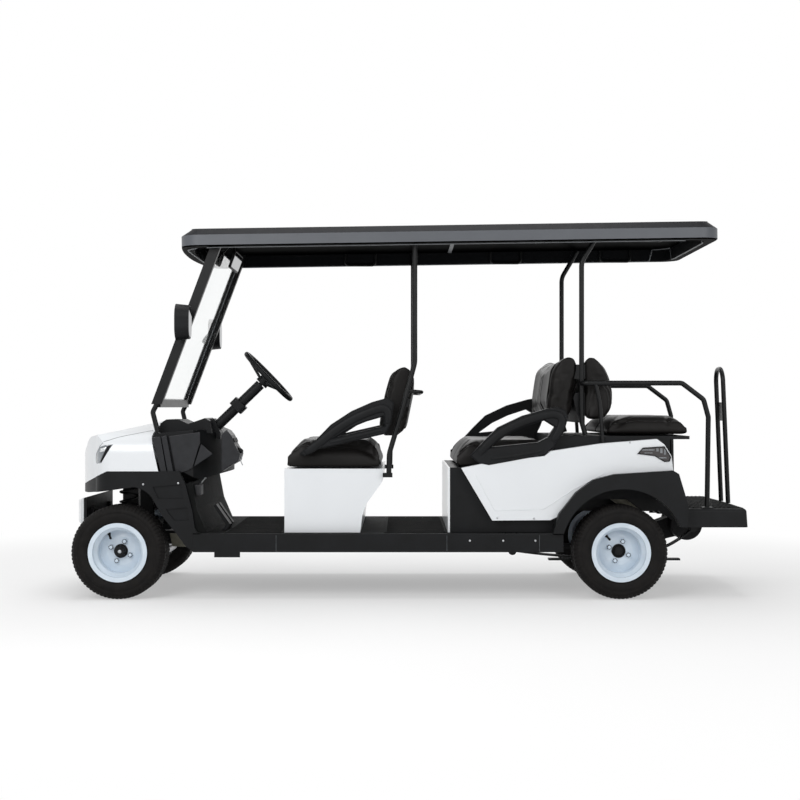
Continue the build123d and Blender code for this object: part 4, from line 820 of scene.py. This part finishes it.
def rimRing(outline, width, low, high):
    # frame that follows an outline on its inner side
    count = len(outline)
    middle = Vector((sum(p[0] for p in outline) / count, sum(p[1] for p in outline) / count))
    rings = []
    for index in range(count):
        here = Vector(outline[index])
        before = (here - Vector(outline[index - 1])).normalized()
        after = (Vector(outline[(index + 1) % count]) - here).normalized()
        inward = Vector((before.y + after.y, -before.x - after.x)).normalized()
        if inward.dot(middle - here) < 0 and abs(inward.dot((middle - here).normalized())) > 0.2:
            inward = -inward
        inner = here + inward * width / max(0.5, abs(inward.dot(Vector((before.y, -before.x)))))
        rings.append([(p.x, y, p.y) for p, y in ((here, low), (inner, low), (inner, high), (here, high))])
    return skinned("rim", rings, closed=True)


lensFace = tail["lensFace"]
rim = rimRing(fromRearAxle(tail["outline"]), tail["rim"], -lensFace - tail["rimProud"], -lensFace + tail["rimInto"])
newPiece("tailRims", rim, "trim_black", mirrored=True)
bars = [bar((rearAxle + start, -lensFace - tail["barProud"], low),
            (rearAxle + end, -lensFace + tail["barInto"], high), tail["barBevel"])
        for start, end, low, high in tail["bars"]]
newPiece("tailBars", bars, "tail_lens", "tailBar", mirrored=True)

# mirrors: silvered glass in the two outer shells and the one under the roof
mirrors = {
    "outer": {"y": 0.6, "z": 1.35, "size": (0.098, 0.146), "corner": 0.045},
    "inner": {"from": (-0.5, 0.03, 1.553), "size": (0.312, 0.076), "corner": 0.014},
    "screenNormal": (0.9365, -0.3508),      # in X and Z
    "sunk": 0.0005, "thick": 0.0016,
}
mirrorSurface = surfaceOf("mirrors")
outer, sunk, thick = mirrors["outer"], mirrors["sunk"], mirrors["thick"]
glasses = []
for y in (-outer["y"], outer["y"]):
    back = mirrorSurface.ray_cast(Vector((0, y, outer["z"])), Vector((-1, 0, 0)))[0]
    glasses.append(roundedPlate((back.x - sunk, y, outer["z"]), (0, 1, 0), (0, 0, 1), *outer["size"],
                                outer["corner"], thick))
newPiece("outerMirrorGlass", glasses, "mirror_shell", "mirrorGlass")
inner = mirrors["inner"]
leanX, leanZ = mirrors["screenNormal"]
facing = Vector((leanX, 0, leanZ))
back = mirrorSurface.ray_cast(Vector(inner["from"]), -facing)[0]
glass = roundedPlate(Vector((back.x, 0, back.z)) - facing * sunk, (0, 1, 0), (-leanZ, 0, leanX), *inner["size"],
                     inner["corner"], thick)
newPiece("innerMirrorGlass", glass, "mirror_shell", "mirrorGlass")
print("lamps and mirrors dressed")

# body joints and creases
creases = {
    "hoodCrease": [(-0.100, 0.742), (-0.075, 0.768), (-0.052, 0.775), (-0.013, 0.788), (0.026, 0.797),
                   (0.052, 0.802), (0.150, 0.822)],
    "hoodBead": 0.0011,
    "panelCrease": [(-0.705, 0.603), (-0.611, 0.431), (-0.373, 0.437), (-0.230, 0.532), (-0.077, 0.612)],
    "panelBead": 0.0022,
    "sillJoints": [-0.637, 0.197, 0.649],      # along the cart
    "jointLow": 0.232, "jointBelowTop": 0.008, "jointHalf": 0.001, "jointProud": 0.0004, "jointInto": 0.002,
}
# a fine dark bead along the hood crease: painted shade in the crease
crease = seamOn(surfaceOf("front_cowl"), fromFrontAxle(creases["hoodCrease"]), creases["hoodBead"])
newPiece("hoodCrease", crease, "body_white", "seamShadow", smooth=True, mirrored=True)
panelSurface = surfaceOf("rear_panels")
crease = seamOn(panelSurface, fromRearAxle(creases["panelCrease"]), creases["panelBead"])
newPiece("panelCrease", crease, "body_white", smooth=True, mirrored=True)
half, jointTop = creases["jointHalf"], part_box("sills")[1].z - creases["jointBelowTop"]
# dark strips at the sill joints: painted shade in the joints
joints = [bar((x - half, -bodyHalf - creases["jointProud"], creases["jointLow"]),
              (x + half, -bodyHalf + creases["jointInto"], jointTop)) for x in creases["sillJoints"]]
newPiece("sillJoints", joints, "trim_black", "seamShadow", mirrored=True)

# screws: pan heads with a round dip where the cross recess is
screws = {
    "radius": 0.0055, "edge": 0.0008,
    "profile": [(0.85, 0.42), (0.5, 0.58), (0.28, 0.6), (0.2, 0.3), (0, 0.28)],      # shares of the radius
    # back from an axle, height
    "sills": [(-0.735, 0.285), (-0.572, 0.285), (-0.415, 0.285)],
    "front_fender": [(0.442, 0.313), (0.291, 0.566), (0.120, 0.560)],
    "rear_panels": [(-0.60, 0.395), (-0.42, 0.392), (0.05, 0.765)],
}
radius = screws["radius"]
screwProfile = [(radius, -rooted), (radius, screws["edge"])]
screwProfile += [(radius * share, radius * rise) for share, rise in screws["profile"]]
heads = []
for node, axle in (("sills", rearAxle), ("front_fender", frontAxle), ("rear_panels", rearAxle)):
    surface = surfaceOf(node)
    for x, z in screws[node]:
        hit, normal = surface.ray_cast(Vector((axle + x, leftOfAll, z)), Vector((0, 1, 0)))[:2]
        if hit is not None:
            heads.append(lathe(screwProfile, hit, normal if normal.y < 0 else -normal, steps=14))
newPiece("panelScrews", heads, "steel_grey", "zincScrew", smooth=True, mirrored=True)
print("joints and screws made")

# trim between the cowl and the dash, and the raised cheeks of the dash
cheeks = {
    # outlines as (back from the front axle, height), with the outer face of each
    "strips": [
        ([(0.162, 0.790), (0.203, 0.793), (0.236, 0.606), (0.206, 0.616)], 0.5565),
        ([(0.206, 0.793), (0.232, 0.799), (0.268, 0.606), (0.240, 0.605)], 0.5520),
    ],
    "stripInner": 0.498,
    "cheek": ([(0.240, 0.795), (0.393, 0.815), (0.393, 0.762), (0.357, 0.640), (0.337, 0.628), (0.276, 0.610)], 0.5350),
    "corner": ([(0.399, 0.757), (0.456, 0.708), (0.362, 0.644)], 0.5310),
    "cornerRoot": (0.405, -0.360, 0.700),              # buried in the curved face of the dash
    "inner": 0.5240, "bevel": 0.0025,
}
bevel = cheeks["bevel"]
plates = [slab(fromFrontAxle(outline), -face, -cheeks["stripInner"], bevel) for outline, face in cheeks["strips"]]
newPiece("cowlStrips", plates, "trim_black", "dashPlastic", mirrored=True)
outline, face = cheeks["cheek"]
plates = [slab(fromFrontAxle(outline), -face, -cheeks["inner"], bevel)]
outline, face = cheeks["corner"]
rootX, rootY, rootZ = cheeks["cornerRoot"]
corners = [(x, -face, z) for x, z in fromFrontAxle(outline)] + [(frontAxle + rootX, rootY, rootZ)]
plates.append(closedForm("corner", corners, [(0, 1, 2), (0, 1, 3), (1, 2, 3), (2, 0, 3)], bevel))
newPiece("dashCheeks", plates, "trim_black", "dashPlastic", mirrored=True)

# switch panel on the driver's side: buttons, direction lever, lock with its key
switches = {
    "outline": [(0.494, 0.800), (0.503, 0.811), (0.519, 0.826), (0.543, 0.799), (0.560, 0.754), (0.586, 0.707),
                (0.576, 0.669), (0.526, 0.641), (0.494, 0.617)],
    "from": -0.500, "to": -0.332, "bevel": 0.004,
    "buttonFace": ((0.548, 0.792), (0.562, 0.757)), "buttons": (-0.470, -0.420, -0.370), "buttonLift": 0.003,
    "buttonSize": (0.034, 0.022, 0.004, -0.006), "keySize": (0.022, 0.036, 0.009, 0.0026),      # as in roundedPlate
    "lever": ((0.548, 0.757), (0.580, 0.726)), "leverY": -0.452, "leverRadius": 0.0048, "leverInto": 0.012,
    "knobAt": 0.004,      # beyond the end of the lever
    "knob": [(0, -0.016), (0.007, -0.013), (0.011, -0.004), (0.0115, 0.004), (0.008, 0.012), (0, 0.0145)],
    "lock": ((0.560, 0.690), (0.594, 0.660)), "lockY": -0.395,
    "lockProfile": [(0.0165, -0.012), (0.0165, 0.008), (0.0145, 0.010), (0.0145, 0.020), (0.0125, 0.024), (0, 0.024)],
    "key": ((0.574, 0.682), (0.590, 0.646)),
}
panel = slab(fromFrontAxle(switches["outline"]), switches["from"], switches["to"], switches["bevel"])
newPiece("switchPanel", panel, "trim_black", "dashPlastic")
upper, lower = [Vector((x, 0, z)) for x, z in fromFrontAxle(switches["buttonFace"])]
rise = (upper - lower).normalized()
facing = Vector((rise.z, 0, -rise.x))
middle = (upper + lower) / 2 + facing * switches["buttonLift"]
buttons = [roundedPlate(middle + Vector((0, y, 0)), (0, 1, 0), rise, *switches["buttonSize"])
           for y in switches["buttons"]]
newPiece("dashButtons", buttons, "trim_black")
(x0, z0), (x1, z1) = fromFrontAxle(switches["lever"])
y, into, knobAt = switches["leverY"], switches["leverInto"], switches["knobAt"]
lever = [tube([(x0 - into, y, z0 + into), (x1, y, z1)], switches["leverRadius"], 10),
         lathe(switches["knob"], (x1 + knobAt, y, z1 - knobAt), (x1 - x0, 0, z1 - z0), steps=20)]
newPiece("directionLever", lever, "trim_black", smooth=True)
(x0, z0), (x1, z1) = fromFrontAxle(switches["lock"])
y = switches["lockY"]
lock = lathe(switches["lockProfile"], (x0, y, z0), (x1 - x0, 0, z1 - z0), steps=28)
(x0, z0), (x1, z1) = fromFrontAxle(switches["key"])
key = roundedPlate(((x0 + x1) / 2, y, (z0 + z1) / 2), (0, 1, 0), (x1 - x0, 0, z1 - z0), *switches["keySize"])
newPiece("ignitionLock", [lock, key], "steel_grey")

# below the dash: grey control unit on its bracket, bright linkage beside it
control = {
    "low": (0.323, -0.470, 0.502), "high": (0.390, -0.380, 0.553), "bevel": 0.004,
    "fins": 5, "finPitch": 0.0115, "finWidth": 0.005, "finFrom": 0.010, "finInset": 0.008, "finDepth": (-0.003, 0.004),
    "finBevel": 0.001, "rod": 0.0035,
    "linkage": [(0.377, 0.551), (0.384, 0.562), (0.392, 0.572), (0.402, 0.584)], "linkageY": -0.400,
    "ball": [(0, -0.0065), (0.0046, -0.0046), (0.0065, 0), (0.0046, 0.0046), (0, 0.0065)],
}
low, high = control["low"], control["high"]
unit = [bar((frontAxle + low[0], low[1], low[2]), (frontAxle + high[0], high[1], high[2]), control["bevel"])]
for step in range(control["fins"]):
    x = frontAxle + low[0] + control["finFrom"] + step * control["finPitch"]
    (outer, inner), inset = control["finDepth"], control["finInset"]
    unit.append(bar((x, low[1] + outer, low[2] + inset),
                    (x + control["finWidth"], low[1] + inner, high[2] - inset), control["finBevel"]))
newPiece("controlUnit", unit, "battery_case")
linkage = [(x, control["linkageY"], z) for x, z in fromFrontAxle(control["linkage"])]
parts = [tube(linkage, control["rod"])]
parts += [lathe(control["ball"], at, (0, 1, 0), steps=14) for at in (linkage[0], linkage[-1])]
newPiece("pedalLinkage", parts, "steel_grey", "zincScrew", smooth=True)

# ribs across the faces of the two pedal plates
pedals = {
    "across": (-0.3415, -0.2165), "heights": (0.385, 0.415), "lookFrom": -0.6,
    "ribs": 4, "pitch": 0.0135, "first": -0.012, "rib": (0.048, 0.007, 0.002, -0.0035),
}
pedalSurface = surfaceOf("pedals")
ribs = []
for y in pedals["across"]:
    lower, upper, climb, off = slopeOf(pedalSurface, pedals["lookFrom"], y, pedals["heights"])
    for step in range(pedals["ribs"]):
        middle = lower + climb * (step * pedals["pitch"] + pedals["first"])
        ribs.append(roundedPlate(middle - off * rooted, (0, 1, 0), climb, *pedals["rib"]))
newPiece("pedalRibs", ribs, "trim_black", "ribbedRubber")

# rubber mats on the floor and the tread of the rear step
mats = {
    "mats": [(-0.893, -0.606), (-0.110, 0.200)],       # along the cart
    "halfWidth": 0.520, "floorTop": 0.320, "thick": 0.0035,
    "pitch": 0.030, "ribHalf": 0.006, "ribHeight": 0.0016, "edge": 0.02, "ribEnd": 0.012,
    "into": 0.0005, "bevel": 0.001, "ribBevel": 0.0012,
}
half, top = mats["halfWidth"], mats["floorTop"] + mats["thick"]
strips = []
for start, end in mats["mats"]:
    strips.append(bar((start, -half, mats["floorTop"] - mats["into"]), (end, half, top), mats["bevel"]))
    for index in range(int(2 * (half - mats["edge"]) / mats["pitch"]) + 1):
        y = -half + mats["edge"] + index * mats["pitch"]
        strips.append(bar((start + mats["ribEnd"], y - mats["ribHalf"], top - rooted),
                          (end - mats["ribEnd"], y + mats["ribHalf"], top + mats["ribHeight"]), mats["ribBevel"]))
newPiece("floorMats", strips, "trim_black", "ribbedRubber")

tread = {
    "front": 0.035, "rear": 0.034, "sides": 0.030, "thick": 0.0022, "bevel": 0.001,
    "firstRib": 0.055, "lastRib": 0.045, "pitch": 0.022, "ribHalf": 0.004, "ribInset": 0.012, "ribTop": 0.0042,
}
low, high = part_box("step")
sides, bevel = tread["sides"], tread["bevel"]
treads = [bar((low.x + tread["front"], low.y + sides, high.z - rooted),
              (high.x - tread["rear"], high.y - sides, high.z + tread["thick"]), bevel)]
sides += tread["ribInset"]
x = low.x + tread["firstRib"]
while x < high.x - tread["lastRib"]:
    treads.append(bar((x - tread["ribHalf"], low.y + sides, high.z + rooted),
                      (x + tread["ribHalf"], high.y - sides, high.z + tread["ribTop"]), bevel))
    x += tread["pitch"]
newPiece("stepTread", treads, "trim_black", "ribbedRubber")

# roof: pale lip of the inner liner and a strip across it
roof = {
    "inset": 0.052, "corner": 0.16, "lip": 0.0042, "stride": 0.02, "lookFrom": 1.5,
    "stripAt": 0.246, "stripHalf": 0.010, "stripDepth": 0.0035, "stripFrom": -0.49, "stripStride": 0.035,
    "stripStops": 29,
}
roofSurface = surfaceOf("roof")
low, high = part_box("roof")
middle, half = (low + high) / 2, (high - low) / 2
inset = roof["inset"]


def underRoof(x, y):
    return roofSurface.ray_cast(Vector((x, y, roof["lookFrom"])), Vector((0, 0, 1)))[0]


outline = [middle + Vector((x, y, 0)) for x, y in roundedRim(half.x - inset, half.y - inset, roof["corner"], 8)]
loop = [underRoof(at.x, at.y) for at in runAlong(outline + [outline[0]], roof["stride"])[:-1]]
lip = tube([hit for hit in loop if hit is not None], roof["lip"], loop=True)
newPiece("roofLip", lip, "roof_black", "linerGrey", smooth=True)
rings, half, depth = [], roof["stripHalf"], roof["stripDepth"]
for step in range(roof["stripStops"]):
    hit = underRoof(roof["stripAt"], roof["stripFrom"] + step * roof["stripStride"])
    if hit is not None:
        rings.append([(hit.x + dx, hit.y, hit.z + dz)
                      for dx, dz in ((-half, rooted), (half, rooted), (half, -depth), (-half, -depth))])
newPiece("roofStrip", skinned("roofStrip", rings), "roof_black", "linerGrey")

# edge channels of the windscreen
edges = {
    "across": (-0.460, 0.460), "heights": (1.10, 1.62), "lookFrom": -0.4, "lift": 0.01, "proud": 0.0018,
    "size": (0.024, 0.78, 0.003, -0.0022),
}
screenSurface = surfaceOf("windshield")
channels = []
for y in edges["across"]:
    lower, upper, climb, off = slopeOf(screenSurface, edges["lookFrom"], y, edges["heights"])
    centre = (lower + upper) / 2 + climb * edges["lift"] + off * edges["proud"]
    channels.append(roundedPlate(centre, (0, 1, 0), climb, *edges["size"]))
newPiece("screenChannels", channels, "clear_screen", "linerGrey")

# seen through the wheel arches: rear dampers, cranked plates behind the front wheels
arches = {
    "damper": ((-0.047, 0.520), (0.196, 0.352)), "damperY": 0.345,
    "plate": [(0.201, 0.295), (0.237, 0.295), (0.286, 0.226), (0.215, 0.228)], "plateY": (0.244, 0.256),
}
start, end = [Vector((x, -arches["damperY"], z)) for x, z in fromRearAxle(arches["damper"])]
length = (end - start).length
damper = lathe([(0.006, 0), (0.009, 0.004), (0.009, 0.02), (0.0215, 0.024), (0.0225, 0.03), (0.0225, length * 0.58),
                (0.0205, length * 0.6), (0.0205, length - 0.04), (0.018, length - 0.03), (0.009, length - 0.026),
                (0.009, length)], start, end - start, steps=24)
newPiece("rearDampers", damper, "steel_grey", "damperPaint", smooth=True, mirrored=True)
inside, outside = arches["plateY"]
plate = slab(fromFrontAxle(arches["plate"]), -outside, -inside, 0.0015)
newPiece("frontPlates", plate, "steel_grey", "damperPaint", mirrored=True)

# hub ends: grey stub in each front cap, dark bore in each rear one; profiles of (radius, out)
hubs = {
    "front": [(0.009, -0.004), (0.009, 0.0008), (0.0075, 0.0022), (0.003, 0.003), (0, 0.003)],
    "rear": [(0.0205, -0.004), (0.0205, 0.0012), (0.0185, 0.0020), (0.0165, 0.0012), (0.0160, -0.002), (0, -0.002)],
}
for end, sideName, side in wheels:
    low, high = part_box(f"hub_{end}_{sideName}")
    middle = centreOf(f"tyre_{end}_{sideName}")
    cap = lathe(hubs[end], (middle.x, low.y if side < 0 else high.y, middle.z), (0, side, 0), steps=28)
    slot, finish = ("steel_grey", "zincScrew") if end == "front" else ("hub_dark", None)
    newPiece(f"hubEnd_{end}_{sideName}", cap, slot, finish, body=f"wheel_{end}_{sideName}")
print("details made")

# armrests: padded crowns along the outer faces of the loops
arms = {
    "width": 0.040, "proud": 0.0075, "taper": 0.07, "lowerShare": 0.45, "stations": 11, "stride": 0.012,
    "leastSwell": 0.02, "endWidth": 0.4,      # share of the width left at the ends
    # lines as (back from the rear of the seat pod, height)
    "front": [(-0.380, 0.712), (-0.310, 0.762), (-0.240, 0.820), (-0.155, 0.876), (-0.068, 0.914), (0.006, 0.937),
              (0.028, 0.908), (0.022, 0.856)],
    "frontLower": [(0.000, 0.826), (-0.130, 0.796), (-0.262, 0.764)],
    # lines as (back from the rear axle, height, share of the right armrest's extra height)
    "middle": [(-0.690, 0.706, 0.7), (-0.648, 0.756, 1), (-0.579, 0.816, 1), (-0.474, 0.866, 1), (-0.363, 0.901, 1),
               (-0.303, 0.903, 1), (-0.279, 0.876, 1), (-0.293, 0.822, 0.6), (-0.330, 0.770, 0.2)],
    "middleLower": [(-0.372, 0.726, 0), (-0.500, 0.700, 0), (-0.630, 0.684, 0)],
    "extraHeight": 0.052,
}


def cornersCut(line):
    # corners of a line cut off twice
    for _ in range(2):
        cut = [line[0]]
        for start, end in zip(line, line[1:]):
            cut += [start.lerp(end, 0.25), start.lerp(end, 0.75)]
        line = cut + [line[-1]]
    return line


def crownOn(line, share, face, side):
    # half-round crown along a line in X and Z, on a flat face at y = side * face
    width, proud, count = arms["width"] * share, arms["proud"] * share, arms["stations"]
    line = runAlong(cornersCut([Vector((x, 0, z)) for x, z in line]), arms["stride"])
    reach = [0.0]
    for start, end in zip(line, line[1:]):
        reach.append(reach[-1] + (end - start).length)
    rings = []
    for index, place in enumerate(line):
        ring = []
        along = (line[min(index + 1, len(line) - 1)] - line[max(index - 1, 0)]).normalized()
        across = Vector((-along.z, 0, along.x))
        near = min(1, min(reach[index], reach[-1] - reach[index]) / arms["taper"])
        swell = math.sqrt(max(arms["leastSwell"], near * (2 - near)))
        half = width / 2 * (arms["endWidth"] + (1 - arms["endWidth"]) * swell)
        for step in range(count):
            if step < count - 2:
                part = -1 + 2 * step / (count - 3)
                y = side * (face + proud * swell * math.sqrt(1 - part * part))
            else:
                part, y = (1 if step == count - 2 else -1), side * (face - rooted)
            at = place + across * part * half
            ring.append((at.x, y, at.z))
        rings.append(ring)
    return skinned("crown", rings)


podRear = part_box("seat_pod")[1].x
shares = (("", 1), ("Lower", arms["lowerShare"]))
crowns = [crownOn([(podRear + x, z) for x, z in arms["front" + key]], share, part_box("front_armrests")[1].y, -1)
          for key, share in shares]
newPiece("frontArmCrowns", crowns, "trim_black", smooth=True, mirrored=True)
crowns = []
for side in (-1, 1):
    lift = arms["extraHeight"] if side > 0 else 0
    for key, share in shares:
        line = [(rearAxle + x, z + lift * part) for x, z, part in arms["middle" + key]]
        crowns.append(crownOn(line, share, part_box("middle_armrests")[1].y, side))
newPiece("middleArmCrowns", crowns, "trim_black", smooth=True)

# bumper: white shell round its front edge, above the brackets, which stay black
bumper = {"shellDepth": 0.075, "shellLow": 0.3455, "proud": 0.0006}
low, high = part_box("front_bumper")
front, back = low.x - 0.01, low.x + bumper["shellDepth"]
bottom, top = bumper["shellLow"], high.z + 0.01
shell = skinPatch("front_bumper", [(front, bottom), (front, top), (back, top), (back, bottom)],
                  bumper["proud"], lambda face: face.normal.x < 0.2)
newPiece("bumperShell", shell, "body_white")
print("armrests and bumper dressed")

# studio: pale floor that fades into white surroundings, soft lamps
studio = {
    "floor": "#F7F7F7",
    "floorSize": 40,
    "fadeFrom": 2.3, "fadeTo": 4.2,      # metres from the middle of the cart
    "leastGlow": 0.4,                    # the share of white shown near the cart
    "skyStrength": 0.36,
    "aim": (0, 0, 0.8),
    "lamps": {      # place, size, watts
        "keyLamp": ((-2.5, -5.0, 3.6), 3.0, 135),
        "fillLamp": ((3.5, -5.5, 2.6), 3.5, 78),
        "topLamp": ((0.0, 0.5, 5.5), 4.0, 150),
        "backLamp": ((0.5, 5.5, 4.0), 3.5, 80),
    },
}


def seenDirectly(tree):
    # 1 for what the camera, a reflection or a clear sheet shows, 0 for light that falls on the object
    path = addNode(tree, "LightPath").outputs
    seen = addNode(tree, "Math", {"operation": "MAXIMUM"}, {0: path["Is Camera Ray"], 1: path["Is Glossy Ray"]})
    return addNode(tree, "Math", {"operation": "MAXIMUM"}, {0: seen, 1: path["Is Transmission Ray"]})


world = bpy.data.worlds.new("studio")
bpy.context.scene.world = world
world.use_nodes = True
tree = world.node_tree
tree.nodes.clear()
white = addNode(tree, "Background", {"Color": (1, 1, 1, 1), "Strength": 1.0})
soft = addNode(tree, "Background", {"Color": (1, 1, 1, 1), "Strength": studio["skyStrength"]})
mix = addNode(tree, "MixShader", links={0: seenDirectly(tree), 1: soft, 2: white})
addNode(tree, "OutputWorld", links={"Surface": mix})

half = studio["floorSize"] / 2
floorMesh = bpy.data.meshes.new("studioFloor")
floorMesh.from_pydata([(-half, -half, 0), (half, -half, 0), (half, half, 0), (-half, half, 0)], [], [(0, 1, 2, 3)])
floor = placed("studioFloor", floorMesh)
finish, tree, shader, place = newFinish("studioFloor", {
    "Roughness": 0.9, "Specular IOR Level": 0.0, "Base Color": colourOf(studio["floor"]),
})
distance = addNode(tree, "VectorMath", {"operation": "LENGTH"}, {0: place})
fade = addNode(tree, "MapRange", {
    "interpolation_type": "SMOOTHSTEP", "From Min": studio["fadeFrom"], "From Max": studio["fadeTo"],
    "To Min": studio["leastGlow"],
}, {"Value": distance.outputs["Value"]})
share = addNode(tree, "Math", {"operation": "MULTIPLY"}, {0: fade, 1: seenDirectly(tree)})
glow = addNode(tree, "Emission", {"Color": (1, 1, 1, 1), "Strength": 1.0})
mixed = addNode(tree, "MixShader", links={0: share, 1: shader, 2: glow})
tree.links.new(mixed.outputs[0], tree.nodes["Material Output"].inputs["Surface"])
floorMesh.materials.append(finish)
floor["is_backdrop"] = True

for name, (place, size, power) in studio["lamps"].items():
    lampData = bpy.data.lights.new(name, "AREA")
    setAll(lampData, {"size": size, "energy": power})
    lamp = placed(name, lampData)
    lamp.location = place
    lamp.rotation_euler = (Vector(studio["aim"]) - Vector(place)).to_track_quat("-Z", "Y").to_euler()
bpy.context.scene.view_settings.view_transform = "Standard"
print("studio made")

low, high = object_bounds()
